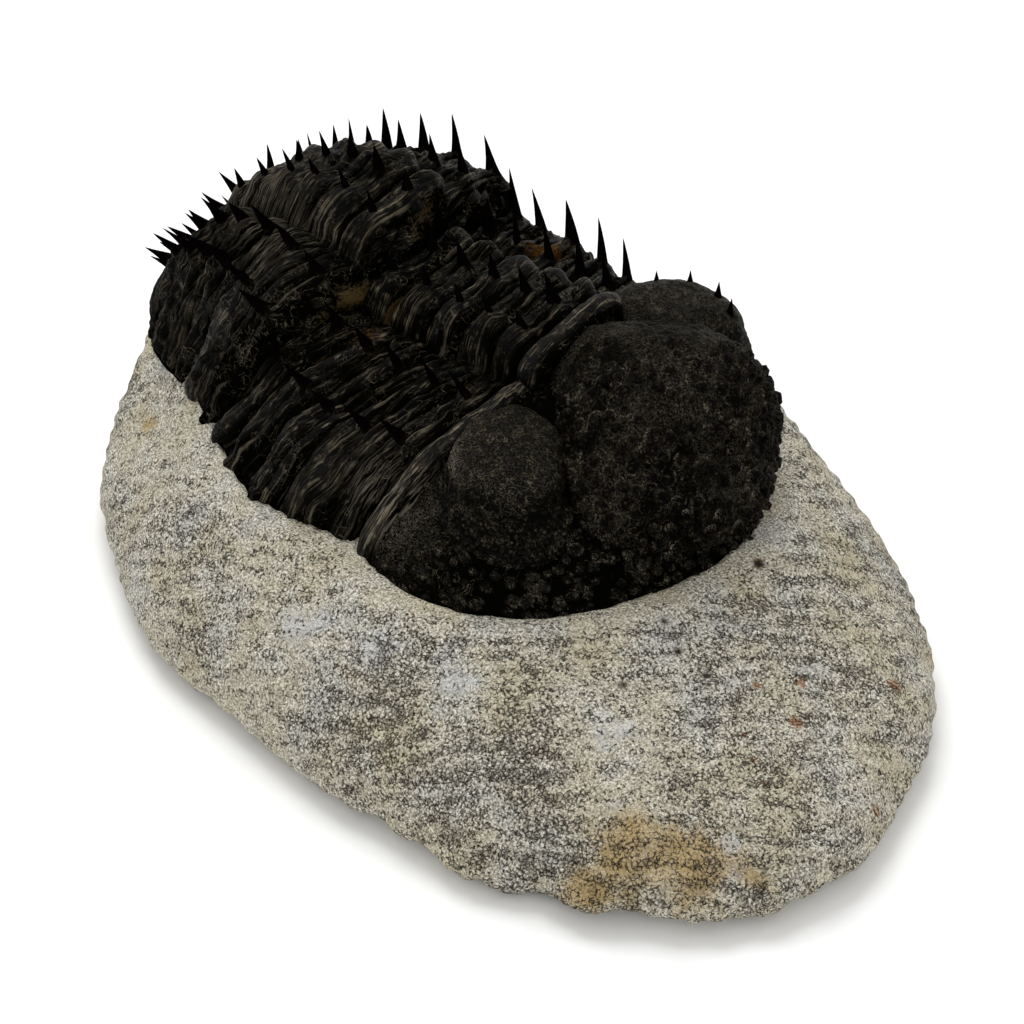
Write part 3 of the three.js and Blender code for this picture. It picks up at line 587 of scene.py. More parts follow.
plates = {
    "count": 11, "breakAfter": 5,  # the thorax is broken behind the fifth plate
    "rows": 46, "lobeColumns": 28, "ribColumns": 104, "wallRows": 3, "brokenRows": 22,
    "gap": 0.1,  # mm between neighbours
    "ringJoint": 1.5, "ribJoint": 1.2, "furrow": 0.8, "axialGroove": 1.2,  # depths in mm
    "overlap": 0.45,  # rise from the front edge to the back edge
    "node": 1.25,  # height of the smooth lump at each side of a ring
    "striation": 0.27, "layer": 0.42, "layerLong": 1.5, "lumps": 0.5, "grit": 0.2,
    "rugged": 2.0,  # roughness of the broken wall
}


def plateParts(sections, u0, u1, number):
    look = plates
    side, onRib, share = columnsAcross(look["lobeColumns"], look["ribColumns"])
    ends = sectionAt(sections, np.array([u0, u1]))
    length = math.hypot(ends["x"][1] - ends["x"][0], ends["z"][1] - ends["z"][0])
    t = np.linspace(0, 1, look["rows"])
    t = t - 0.09 * np.sin(2 * math.pi * t)  # closer rows at the joints
    inset = look["gap"] / 2 / length
    section = sectionAt(sections, u0 + (u1 - u0) * (inset + (1 - 2 * inset) * t))
    base, y = backPoints(section, side, onRib, share)
    tt, ww = np.meshgrid(t, share, indexing="ij")
    rear = number >= look["breakAfter"]
    axial = section["axial"][:, None]
    ring = 1.0 * ~onRib
    # where each joint and furrow runs, and how the plate lies in between
    wander = 0.03 * softNoise(np.stack([y, side + 0 * y, 0 * y], -1), 5.0, 13 + number)
    at = tt + wander
    ribOn = smoothStep(0.0, 0.12, ww) * onRib
    world = base + fossilAt
    joint = np.where(onRib, look["ribJoint"] * (0.75 + 0.6 * softNoise(world, 7.0, 12)), look["ringJoint"])
    lift = 0.6 - joint * (bell(tt, 0.075) + bell(1 - tt, 0.085)) + look["overlap"] * (tt - 0.5)
    tip = smoothStep(0.72, 1.0, ww) * onRib
    lift = lift - 2.2 * tip * (bell(tt, 0.24) + bell(1 - tt, 0.24))
    furrowAt = 0.28 + 0.24 * smoothStep(0.0, 0.5, ww)
    furrowOn = ribOn * (1 - smoothStep(0.7, 0.9, ww)) * (1 + 0.6 * unevenness(number, 1, 4))
    lift = lift - look["furrow"] * furrowOn * bell(at - furrowAt, 0.075)
    lift = lift + 0.4 * furrowOn * bell(at - 0.72, 0.14)
    lift = lift - look["axialGroove"] * bell(y - axial, 1.4) * (0.6 + 0.4 * np.sin(math.pi * tt))
    lumpy = look["node"] * (0.8 if rear else 1.0) * (1 + 0.3 * unevenness(number, 5, 2))
    node = bell((ww - 0.76) * axial, 2.3) * bell((tt - 0.52) * length, 2.0) * ring
    lift = lift + lumpy * node + ring * 0.35 * bell(tt - 0.6, 0.3)
    # layers of shell that end in ragged steps, and fine lines along the rib
    coarse = lift
    along = tt * length + 0.6 * softNoise(world, 6.0, 14)
    grain = np.stack([along, y * side, np.full(y.shape, 3.7 * number)], -1)
    calm = 1 - 0.75 * node
    steps = (grain[..., 0] + 1.1 * softNoise(world, (5.0, 9.0, 9.0), 15)) / look["layerLong"] + 0.37 * number
    tooth = steps % 1
    layerOn = (0.5 + 0.5 * softNoise(world, 5.5, 16)) * np.where(onRib, 1.0, 0.45) * calm
    lift = lift + look["layer"] * layerOn * (smoothStep(0, 0.8, tooth) - smoothStep(0.82, 1.0, tooth) - 0.4)
    lift = lift + look["striation"] * calm * softNoise(grain, (0.5, 6.0, 1.0), 5 + number)
    lift = lift + look["striation"] * 0.8 * calm * softNoise(grain, (1.0, 13.0, 1.0), 25 + number)
    # crest: high places take the painted sheen and the painted highlight lines, while joints and furrows don't
    crest = (lift - coarse) / 0.55 - 0.9 * (bell(tt, 0.06) + bell(1 - tt, 0.06))
    crest = crest - 0.5 * furrowOn * bell(at - furrowAt, 0.06)
    crest = np.clip(crest + 0.5 * node + 0.35 * softNoise(world, 3.0, 17), -1, 1)
    lift = lift + look["lumps"] * calm * roughNoise(world, 4.6, 3, 3)
    lift = lift + look["grit"] * (1.5 if rear else 1.0) * calm * roughNoise(world, 1.2, 8, 2)
    horns = spineBases(sectionAt(sections, np.array([(u0 + u1) / 2])), spines["rows"], 1.0, number, 0)
    for foot, _, _ in horns:
        lift = lift + spines["collar"] * bell(np.linalg.norm(base - foot, axis=-1), 1.7)
    top = raisedBy(base, lift)
    top[..., 2] = np.maximum(top[..., 2], footZ + 0.4)
    broken = number == look["breakAfter"]
    wall = (look["brokenRows"], look["rugged"]) if broken else (look["wallRows"], 0.0)
    loops = plateLoops(bentJoints(top), *wall)
    low = smoothStep(0.05, -0.9, lift)
    thinly = 0.5 + 0.5 * softNoise(world, 4.0, 61)
    dust = np.maximum(low * 0.34 * thinly, spots(base, matrixAt) * (0.35 + 0.65 * low) * (0.6 + thinly))
    walls = loops[len(top):]
    wallDust = 0.9 * spots(walls, matrixAt) * (0.7 + softNoise(walls, 3.0, 62)) + 0.12
    pale = np.maximum(spots(base, scrapedAt), 0.3 * smoothStep(0.86, 1.0, tooth) * layerOn)
    values = {
        "dust": withWalls(dust, walls, wallDust),
        "rust": withWalls(spots(base, rustAt), walls, spots(walls, rustAt)),
        "pale": withWalls(pale, walls),
        "crest": withWalls(crest, walls, softNoise(walls, 2.0, 63) - 0.2),
        "grain": np.concatenate([grain, walls[..., [2, 1, 0]]]),
    }
    parts = [closedTube(loops, **values)]
    for i, (foot, direction, grown) in enumerate(horns):
        radius = spines["radius"] * (1 + 0.22 * unevenness(number, i, 9))
        parts.append(spinePart(bentJoints(foot), direction, grown, radius, number + i))
    return inStone(parts)


def plateSpan(number):
    # A plate's list of sections and the positions of its two edges there
    if number < plates["breakAfter"]:
        step = 2 / plates["breakAfter"]
        return frontSections, number * step, (number + 1) * step
    step = tailFrom / (plates["count"] - plates["breakAfter"])
    k = number - plates["breakAfter"]
    return rearSections, k * step, (k + 1) * step


for number in range(plates["count"]):
    node = "thorax_segment_%02d" % (number + 1)
    makePiece("Thorax_plate_%02d" % (number + 1), plateParts(*plateSpan(number), number), shell, [node])
print("thorax plates ready")


tail = {
    "rows": 120, "lobeColumns": 16, "ribColumns": 78, "ribs": 6, "ribHeight": 0.7, "groove": 0.9, "lumps": 0.32,
    "striation": 0.2, "spineRows": 4,
}


def tailParts():
    side, onRib, share = columnsAcross(tail["lobeColumns"], tail["ribColumns"])
    t = np.linspace(0, 1, tail["rows"])
    first = tailFrom + 0.02  # leaves the joint open
    section = sectionAt(rearSections, first + (tailTo - first) * t)
    base, y = backPoints(section, side, onRib, share)
    tt, ww = np.meshgrid(t, share, indexing="ij")
    fade = 1 - 0.6 * tt
    wave = tt * tail["ribs"]
    lift = -tail["ribHeight"] * fade * np.cos(2 * math.pi * wave) * (1 - 0.35 * smoothStep(0.75, 1, ww) * onRib)
    lift = lift - 0.35 * fade * onRib * bell(wave % 1 - 0.5, 0.10)
    lift = lift - tail["groove"] * fade * bell(y - section["axial"][:, None], 0.9)
    lift = lift - 1.2 * bell(tt, 0.02)
    crest = np.clip(1.2 * lift, -1, 1)
    world = base + fossilAt
    grain = np.stack([tt * 30, y * side, np.full(y.shape, 91.0)], -1)
    lift = lift + tail["striation"] * softNoise(grain, (0.5, 5.0, 1.0), 71)
    lift = lift + tail["lumps"] * roughNoise(world, 3.4, 72, 3)
    horns = []
    spinesFrom = tailFrom + 0.04
    for i in range(tail["spineRows"]):
        place = sectionAt(rearSections, np.array([spinesFrom + (tailTo - spinesFrom) * (0.12 + 0.22 * i)]))
        scale = 0.85 - 0.1 * i
        rows = spines["rows"][:len(spines["rows"]) - i]
        horns += [(*horn, scale) for horn in spineBases(place, rows, scale, 40 + i, 0.8 + 0.25 * i)]
    for foot, _, _, scale in horns:
        lift = lift + spines["collar"] * bell(np.linalg.norm(base - foot, axis=-1), 1.4 * scale)
    top = raisedBy(base, lift)
    top[..., 2] = np.maximum(top[..., 2], footZ + 0.4)
    loops = plateLoops(bentJoints(top), 3)
    walls = loops[len(top):]
    dust = smoothStep(0.1, -1.1, lift) * (0.3 + 0.4 * softNoise(world, 5.0, 61)) + spots(base, matrixAt)
    values = {
        "dust": withWalls(dust, walls, 0.2),
        "pale": withWalls(spots(base, scrapedAt), walls),
        "crest": withWalls(crest, walls),
        "grain": np.concatenate([grain, walls[..., [2, 1, 0]]]),
    }
    parts = [closedTube(loops, **values)]
    for i, (foot, direction, grown, scale) in enumerate(horns):
        parts.append(spinePart(bentJoints(foot), direction, grown, spines["radius"] * scale, i))
    return inStone(parts)


makePiece("Tail_shield_ribbed", tailParts(), shell, ["tail_shield"])

head = {
    "length": 31.0, "back": 34.0, "half": 40.0, "left": 0.86, "cheekTop": 47.0, "corner": (-12.5, 36.0),
    "farFlat": 0.14,  # how much the far front corner is flattened
    "angleSteps": 300, "shareSteps": 150,
    "furrowAt": 0.8, "furrow": 0.8, "rim": 0.6,  # share of the way to the rim, depth and height in mm
    "tubercle": 0.8, "tubercleSize": 0.72, "tubercleGap": 1.6,  # height, radius and spacing in mm
    "tries": (3200, 4200),  # angles and shares drawn for the tubercles
}
glabella = {
    "x": 11.0, "z": 36.5, "long": 20.0, "high": 19.3, "narrow": 10.5, "broad": 23.5, "full": 2.8, "sunk": 0.16,
    "pressed": 0.1,
    "cells": 126, "pustules": 660, "pustule": 1.1, "pustuleSize": 1.1,  # count, height and radius in mm
}


def domes(points, centres, size, height):
    # Height at each point from round pustules, slightly hollow on top, and how much the point lies in the
    # ditch round one
    nearest = np.full(len(points), 99.0)
    which = np.zeros(len(points), int)
    for start in range(0, len(points), 4000):
        block = points[start:start + 4000]
        d = ((block[:, None, :] - centres[None, :, :]) ** 2).sum(-1)
        k = d.argmin(1)
        nearest[start:start + 4000] = np.sqrt(d[np.arange(len(block)), k])
        which[start:start + 4000] = k
    r = nearest / size[which]
    rise = height[which] * (smoothStep(1.15, 0.5, r) - 0.2 * bell(r, 0.3) - 0.3 * bell(r - 1.3, 0.25))
    return rise, bell(r - 1.15, 0.16) * np.minimum(1, height[which])


def clearOfThorax(points):
    # Keeps the head in front of the first plate, whose front edge is swept back
    first = {key: values[0] for key, values in frontSections.items()}
    onLeft = points[:, 1] > 0
    share = np.abs(points[:, 1]) / np.where(onLeft, first["left"], first["right"])
    back = first["sweep"] * np.clip(share, 0, 1.15) ** 2 * np.where(onLeft, leftSweep, 1)
    points[:, 0] = np.maximum(points[:, 0], first["x"] + 0.9 - back)
    return points


def rimReach(angle):
    # Reach of the head's rim from the middle of its back edge
    c, s = np.cos(angle), np.sin(angle)
    flat = np.where((c > 0) & (s > 0), 1 - head["farFlat"] * 2 * s * c, 1)
    long = np.where(c > 0, head["length"], head["back"])
    return flat / np.hypot(c / long, s / np.where(s > 0, head["left"] * head["half"], head["half"]))


def cheekPoint(angle, share, reach):
    fall = 1 - share ** 2.6
    x, y = 1 + (reach * np.cos(angle) - 1) * share, reach * np.sin(angle) * share
    return np.stack([x, y, edgeZ + (head["cheekTop"] - edgeZ) * fall], -1)


def cheekPart():
    limit = math.atan2(head["corner"][1], head["corner"][0])
    angles = np.linspace(-limit, limit, head["angleSteps"])
    shares = np.linspace(0.12, 1, head["shareSteps"]) ** 0.8
    a, s = np.meshgrid(angles, shares, indexing="ij")
    row = np.arange(head["angleSteps"])[:, None]
    toEnd = np.minimum(row, row[::-1])
    base = cheekPoint(a, s, rimReach(a) * (1 - 0.025 * (1 - smoothStep(0, 14, toEnd))))
    lift = head["rim"] * bell(s - 0.9, 0.07) - head["furrow"] * bell(s - head["furrowAt"], 0.04)
    lift = lift + 0.4 * roughNoise(base, 5.0, 31, 3)
    rng = np.random.default_rng(7)
    kept = []
    angleTries, shareTries = head["tries"]
    for angle, share in zip(rng.uniform(-limit, limit, angleTries), rng.uniform(0.1, 1, shareTries) ** 0.36):
        p = cheekPoint(angle, share, rimReach(angle))
        if all(((p - k) ** 2).sum() > head["tubercleGap"] ** 2 for k in kept):
            kept.append(p)
    centres = np.array(kept)
    size = head["tubercleSize"] * rng.uniform(0.75, 1.25, len(centres))
    tall = head["tubercle"] * rng.uniform(0.5, 1.2, len(centres))
    bumps, ditch = (part.reshape(a.shape) for part in domes(base.reshape(-1, 3), centres, size, tall))
    calm = smoothStep(1.95, 2.2, np.abs(a))  # the genal corner has no tubercles
    lift = lift + bumps * smoothStep(0.45, 0.6, s) * (1 - 0.85 * calm) + 0.09 * roughNoise(base, 0.9, 33, 2)
    top = base + surfaceNormals(base) * lift[..., None]
    top[:, -1] = base[:, -1]
    top[..., 2] = np.maximum(top[..., 2], edgeZ - 0.6)
    grid = np.concatenate([top, top[:, -1:] * [1, 1, 0] + [0, 0, footZ]], 1)
    rows, columns = grid.shape[:2]
    n = rows * columns
    points = np.concatenate([grid.reshape(-1, 3), [[1, 0, head["cheekTop"] - 1], [1, 0, footZ]]])
    first = np.arange(rows) * columns
    last = first + columns - 1
    tris = [np.stack([first[1:], first[:-1], np.full(rows - 1, n)], -1),
            np.stack([last[:-1], last[1:], np.full(rows - 1, n + 1)], -1)]
    for start, turn in ((0, 1), (rows - 1, -1)):
        line = np.concatenate([[n], start * columns + np.arange(columns)])
        pairs = np.stack([line[:-1], line[1:]], -1)[:, ::turn]
        tris.append(np.concatenate([pairs, np.full((len(pairs), 1), n + 1)], 1))
    points = clearOfThorax(points)
    # on top: dust in the furrow, pale crescents beside the tubercles as painted highlight, and a crest that puts
    # the painted sheen on the tubercles
    values = {"dust": 0.35 * bell(s - head["furrowAt"], 0.03) * (0.5 + softNoise(base, 4.0, 35)),
              "pale": ditch * (1 - calm) * smoothStep(0, 0.5, softNoise(base, 1.8, 37)),
              "crest": np.clip(0.9 * bumps - 0.3, -1, 1) * (1 - 0.7 * calm)}
    values = {key: np.append(np.pad(value, ((0, 0), (0, 1))), [0, 0]) for key, value in values.items()}
    values["pale"] = np.maximum(spots(points, scrapedAt), values["pale"])
    values |= {"rust": spots(points, rustAt), "grain": evenGrain(points)}
    return {"points": points, "quads": gridFaces(rows, columns), "tris": np.concatenate(tris), **values}


def cubeBall(cells):
    # An even ball of quads with shared corners
    line = np.tan(np.linspace(-math.pi / 4, math.pi / 4, cells + 1))
    a, b = np.meshgrid(line, line, indexing="ij")
    one = np.ones_like(a)
    faces = [(one, a, b), (-one, b, a), (b, one, a), (a, -one, b), (a, b, one), (b, a, -one)]
    points = np.concatenate([np.stack(f, -1).reshape(-1, 3) for f in faces])
    quads = np.concatenate([gridFaces(cells + 1, cells + 1) + k * (cells + 1) ** 2 for k in range(6)])
    _, first, index = np.unique(np.round(points, 6), axis=0, return_index=True, return_inverse=True)
    points = points[first] / np.linalg.norm(points[first], axis=1, keepdims=True)
    return points, index.reshape(-1)[quads]


def eggPoints(ball):
    # The egg that the glabella follows: wider in front, full below, lower behind and on the pressed left
    g = glabella
    x, y, z = ball[:, 0], ball[:, 1], ball[:, 2]
    depth = np.clip(-z, 0, 0.999)
    fuller = (1 - depth ** g["full"]) ** (1 / g["full"]) / np.sqrt(1 - depth ** 2)
    lower = np.where(z > 0, 1 - g["sunk"] * smoothStep(-0.5, 0.8, -x) - g["pressed"] * smoothStep(0, 1, y), 1)
    width = g["narrow"] + (g["broad"] - g["narrow"]) * smoothStep(-0.95, 0.55, x)
    narrower = np.where(y > 0, 1 - g["pressed"], 1)
    return np.stack([g["x"] + g["long"] * fuller * x, width * fuller * narrower * y,
                     g["z"] + g["high"] * lower * z], -1)


def glabellaPart():
    ball, quads = cubeBall(glabella["cells"])
    base = eggPoints(ball)
    rng = np.random.default_rng(11)
    k = np.arange(glabella["pustules"]) + 0.5
    level = 1 - 2 * k / glabella["pustules"]
    turn = k * math.pi * (3 - math.sqrt(5))
    ringRadius = np.sqrt(1 - level ** 2)
    spread = np.stack([ringRadius * np.cos(turn), ringRadius * np.sin(turn), level], -1)
    spread += rng.normal(0, 0.018, spread.shape)
    spread /= np.linalg.norm(spread, axis=1, keepdims=True)
    size = glabella["pustuleSize"] * rng.uniform(0.7, 1.15, len(spread))
    tall = glabella["pustule"] * rng.uniform(0.5, 1.15, len(spread))
    # the crown towards the left and the back is worn nearly smooth
    worn = 0.2 + 0.8 * smoothStep(-0.5, 0.1, spread[:, 0] - 0.6 * spread[:, 1] - 0.55 * spread[:, 2])
    lift, ditch = domes(base, eggPoints(spread), size, tall * worn)
    beads = np.clip(lift / (0.6 * glabella["pustule"]), 0, 1)
    lift = lift + 0.35 * roughNoise(base, 6.0, 41, 3) + 0.09 * roughNoise(base, 0.8, 43, 2)
    points = base + ball * lift[:, None]
    points[:, 2] = np.maximum(points[:, 2], footZ)
    points = clearOfThorax(points)
    # painted highlight: pale crescents in the ditches stand in for light catching the pustules' rims, and the
    # beads themselves are clean
    highlightCrescent = ditch * smoothStep(-0.2, 0.5, softNoise(base, 1.6, 47))
    between = (1 - beads) * smoothStep(-0.3, 0.6, softNoise(base, 6.5, 46))
    values = {"dust": 0.12 * (1 - beads) * softNoise(base, 5.0, 45), "pale": np.maximum(highlightCrescent, 0.2 * between),
              "horn": 0.7 * beads, "crest": 0.9 * beads + 0.1 * between - 0.2, "grain": evenGrain(points)}
    return {"points": points, "quads": quads, "tris": [], **values}


eye = {
    "base": 29.0, "top": 45.0, "long": 8.8, "wide": 6.8, "corner": (-4.0, -11.5), "drawn": 0.75, "slope": 0.2,
    "right": (5.2, 25.0, 0.0), "left": (5.2, 20.5, 2.0),  # place along and out, and how much it is raised
    # radius against height, from the foot to the middle of the lid, and the rows of points spent on it
    "outline": ([1.3, 1.24, 1.14, 1.06, 1.03, 1.03, 0.87, 0.55, 0.04],
                [0, 0.25, 0.5, 0.66, 0.72, 0.78, 0.91, 0.98, 1]),
    "rowsAt": [0, 14, 38, 50, 56, 63, 76, 86, 96],
    "turns": 260, "lensGap": 1.0, "lens": 0.24,  # spacing and height of the lenses in mm
    "lidSpines": [(-0.72, 0.07), (-0.28, 0.53), (0.28, 0.56), (0.72, 0.21)],
    "lidSpine": (3.2, 0.55),  # length and radius
}


def eyePart(side):
    # A wall of lenses in slanting rows under a smooth lid whose back inner corner is drawn out and raised
    v = np.arange(eye["rowsAt"][-1] + 1)
    radius, level = (curveThrough(eye["rowsAt"], values, v) for values in eye["outline"])
    height, a = np.meshgrid(level, np.linspace(0, 2 * math.pi, eye["turns"], endpoint=False), indexing="ij")
    corner = np.array(eye["corner"]) / np.linalg.norm(eye["corner"])
    towards = np.maximum(0, np.cos(a) * corner[0] + np.sin(a) * corner[1])
    reach = radius[:, None] * (1 + eye["drawn"] * towards ** 3)
    x, y = eye["long"] * reach * np.cos(a), eye["wide"] * reach * np.sin(a)
    tall = eye["top"] - eye["base"]
    along, out, raised = eye["right" if side < 0 else "left"]
    z = eye["base"] + tall * height + eye["slope"] * height * (x * corner[0] + y * corner[1]) + raised
    # lenses, packed in alternate rows over the outer wall
    rowAt = height * tall / (eye["lensGap"] * 0.87)
    around = a * 0.5 * (eye["long"] + eye["wide"]) / eye["lensGap"]
    du = (around + 0.5 * (np.floor(rowAt) % 2)) % 1 - 0.5
    dv = rowAt % 1 - 0.5
    onWall = smoothStep(0.14, 0.22, height) * (1 - smoothStep(0.60, 0.66, height))
    onWall = onWall * smoothStep(-0.55, -0.1, np.sin(a))
    lens = np.clip(1 - (du ** 2 + (dv * 0.87) ** 2) / 0.17, 0, 1) ** 0.5
    onLid = smoothStep(0.8, 0.95, height)
    soft = np.stack([x + 50 * side, y, z], -1)
    swell = eye["lens"] * onWall * lens + 0.3 * roughNoise(soft, 3.2, 51, 3) * (1 - 0.6 * onWall)
    swell = swell + 0.08 * roughNoise(soft, 0.9, 52, 2)
    sideways = swell * (1 - onLid)
    x, y = along + x + sideways * np.cos(a), side * (out + y + sideways * np.sin(a))
    grid = np.stack([x, y, z + swell * onLid], -1)
    rows, turns = len(v), eye["turns"]
    points = np.concatenate([grid.reshape(-1, 3), [grid[0].mean(0)], [grid[-1].mean(0)]])
    ring, n = np.arange(turns), rows * turns
    tris = np.concatenate([fan(ring, n, True), fan(n - turns + ring, n + 1)])
    # the lid is scraped to a paler brown, most of all near its hind edge
    scar = 0.08 * onLid + 0.7 * bell(height - 0.83, 0.07) * smoothStep(0.2, 0.9, -np.cos(a)) * (side < 0)
    values = {"pale": scar, "dust": 0.1 * onLid, "crest": 0.45 * onWall * lens + 0.2 * onLid - 0.1}
    values = {key: np.concatenate([value.reshape(-1), [0, 0]]) for key, value in values.items()}
    values["grain"] = evenGrain(points)
    return {"points": points, "quads": gridFaces(rows, turns, wrapColumns=True), "tris": tris, **values}


band = {
    "ahead": 0.25, "long": 4.4, "wider": 1.2, "higher": 0.3,  # mm
    "rows": 30, "lobeColumns": 24, "ribColumns": 100,
    # height at these shares of the way forward, over the cheeks and over the ring
    "shares": [0, 0.3, 0.7, 1], "border": [-0.8, 0.8, 0.8, -1.6], "ring": [-0.9, 0.8, 0.8, -1.0],
}


def bandPart():
    # The occipital ring and the back borders of the cheeks
    side, onRib, share = columnsAcross(band["lobeColumns"], band["ribColumns"])
    t = np.linspace(0, 1, band["rows"])
    section = {key: np.full(len(t), float(values[0])) for key, values in frontSections.items()}
    section["x"] = section["x"] + band["ahead"] + band["long"] * t
    for key in ("right", "left"):
        section[key] = section[key] + band["wider"] * t
    section["z"] = section["z"] + band["higher"]
    base, y = backPoints(section, side, onRib, share)
    tt, _ = np.meshgrid(t, share, indexing="ij")
    border, ring = (curveThrough(band["shares"], band[key], tt) for key in ("border", "ring"))
    lift = np.where(onRib, border, ring)
    grain = np.stack([tt * band["long"], y * side, np.full(y.shape, 61.0)], -1)
    lift = lift + 0.2 * softNoise(grain, (0.5, 6.0, 1.0), 55) + 0.35 * roughNoise(base, 3.5, 56, 3)
    top = raisedBy(base, lift)
    loops = plateLoops(bentJoints(top), 3)
    walls = loops[len(top):]
    values = {"dust": withWalls(smoothStep(0, -1.2, lift) * 0.3, walls, 0.1),
              "pale": withWalls(spots(base, scrapedAt), walls),
              "rust": withWalls(spots(base, rustAt), walls),
              "crest": withWalls(np.clip(lift, -1, 1), walls),
              "grain": np.concatenate([grain, walls[..., [2, 1, 0]]])}
    return closedTube(loops, **values)


leftEye = [eyePart(1)]
for i, (along, out) in enumerate(eye["lidSpines"]):
    foot = np.array([eye["left"][0] + eye["long"] * along, eye["left"][1] + eye["wide"] * out,
                     eye["base"] + 0.86 * (eye["top"] - eye["base"]) + eye["left"][2]])
    direction = np.array([0.1 * along, 0.25, 1.0])
    leftEye.append(spinePart(foot, direction / np.linalg.norm(direction), *eye["lidSpine"], i))
headPieces = {"Cheeks_and_rim": [cheekPart()], "Glabella": [glabellaPart()],
              "Occipital_ring_and_border": [bandPart()], "Right_eye": [eyePart(-1)], "Left_eye": leftEye}
for name, parts in headPieces.items():
    makePiece(name, inStone(parts), shell, ["head_shield"])
print("head ready")


stone = {
    "outline": [(70, -3), (72.5, -20), (66.5, -34), (53.5, -44), (38, -49.5), (18, -50.5), (0, -49), (-20, -44.5),
                (-40, -38), (-56, -26.5), (-68, -15), (-75, -2), (-77, 14), (-71, 30), (-56, 43), (-34, 50.5),
                (-8, 52), (15, 49.8), (36.3, 42), (52.8, 29.3), (65.3, 12.5)],
    "contact": [(36.5, 8), (35.5, -2), (30.5, -14), (20, -25), (9, -31), (-4, -31), (-18, -29.5), (-31, -26.5),
                (-42, -18.5), (-52, -10.5), (-62, -3), (-72, 4), (-76, 12), (-68, 22), (-53, 33), (-34, 43),
                (-8, 46.5), (10, 44), (22, 38), (31, 29), (36, 18)],
    "rings": ([-0.06, 0, 0.12, 0.32, 0.56, 0.8, 1], [4.5, 8, 11.5, 15.5, 19.5, 23, 25.4]),
    "foot": 0.86, "turns": 540, "footRows": 15, "sideRows": 14, "topRows": 120, "innerRows": 25,
    "waves": 0.5, "lumps": 0.26, "steps": 0.14, "broken": 1.5,  # heights in mm
    "hollow": 0.6,  # depth of the stone below the plates in mm
}
# Stains, marks, smooth and rough places and holes: place in the stone's frame (mm), radius and strength.
ochreAt = [((51, -42, 10), 9, 0.9), ((58, -38, 9), 9, 0.9), ((65, -33, 8), 6, 0.7), ((48, -47, 6), 6, 0.9),
           ((-61, -12.5, 18.5), 4, 0.6), ((13, -38, 21), 4, 0.35), ((50, -12, 19), 5, 0.4)]
chalkAt = [((39.4, -30.8, 19.7), 6, 0.6), ((45.4, -38.6, 15), 4, 0.6), ((-10, -38, 20), 8, 0.6),
           ((3, -38, 20), 7, 0.6), ((16, -36, 21.7), 6, 0.6), ((61.9, -32.5, 11.3), 1.8, 1.0)]
stoneRustAt = [((54.2, -4.2, 18.4), 1.6, 0.9), ((58.1, -10.9, 17.1), 2.2, 0.9), ((50.6, -10.2, 20), 1.4, 0.9),
               ((61.8, 8.9, 13), 2.0, 0.9), ((72.5, -11, 7.9), 1.8, 0.9), ((54.1, -18.4, 17.9), 1.0, 0.9),
               ((57.3, -20.7, 16.4), 1.0, 0.9), ((60.6, -22.8, 15), 1.0, 0.9), ((38, 8, 24.8), 1.6, 0.9),
               ((55, -45, 3), 8, 0.5)]
smoothAt = [((39, -31, 20), 8, 0.8), ((45, -38, 15), 5, 0.8), ((-10, -38, 20), 7, 0.7), ((16, -36, 22), 6, 0.6),
            ((-58, -14, 16), 12, 0.6)]
roughAt = [((31, -41, 17), 11, 0.9), ((10, -42, 18), 9, 0.6), ((40, -47, 8), 8, 0.6)]
holesAt = [((38, 8, 24.8), 0.8, 1.0), ((39.1, -13.8, 23), 0.6, 1.0), ((44.5, -14.5, 21.5), 0.6, 1.0),
           ((36.7, -24, 22.3), 0.6, 1.0), ((34.7, -11.2, 24.8), 0.5, 1.0)]


def footprints():
    # The outlines of the fossil where it meets the stone
    lines = []
    for sections, last in ((frontSections, 2), (rearSections, 6)):
        s = sectionAt(sections, np.linspace(0, last, 40))
        back = s["lean"] + s["sweep"]
        rightSide = np.stack([s["x"] - back, -s["right"]], -1)
        leftSide = np.stack([s["x"] - back * leftSweep, s["left"]], -1)
        lines.append(np.concatenate([rightSide, leftSide[::-1]]))
    limit = math.atan2(head["corner"][1], head["corner"][0])
    angle = np.linspace(-limit, limit, 80)
    lines.append(np.stack([rimReach(angle) * np.cos(angle), rimReach(angle) * np.sin(angle)], -1))
    return [line + fossilAt[:2] for line in lines]


def insideDepth(points, polygon):
    # How far inside a closed outline each point is, and below zero outside
    inside = np.zeros(len(points), bool)
    nearest = np.full(len(points), 1e9)
    for p, q in zip(polygon, np.roll(polygon, -1, axis=0)):
        d = q - p
        if d[1]:
            crosses = (points[:, 1] < p[1]) != (points[:, 1] < q[1])
            inside ^= crosses & (points[:, 0] < p[0] + (points[:, 1] - p[1]) / d[1] * d[0])
        t = np.clip(((points - p) @ d) / max(d @ d, 1e-9), 0, 1)
        nearest = np.minimum(nearest, np.linalg.norm(points - p - t[:, None] * d, axis=1))
    return np.where(inside, nearest, -nearest)


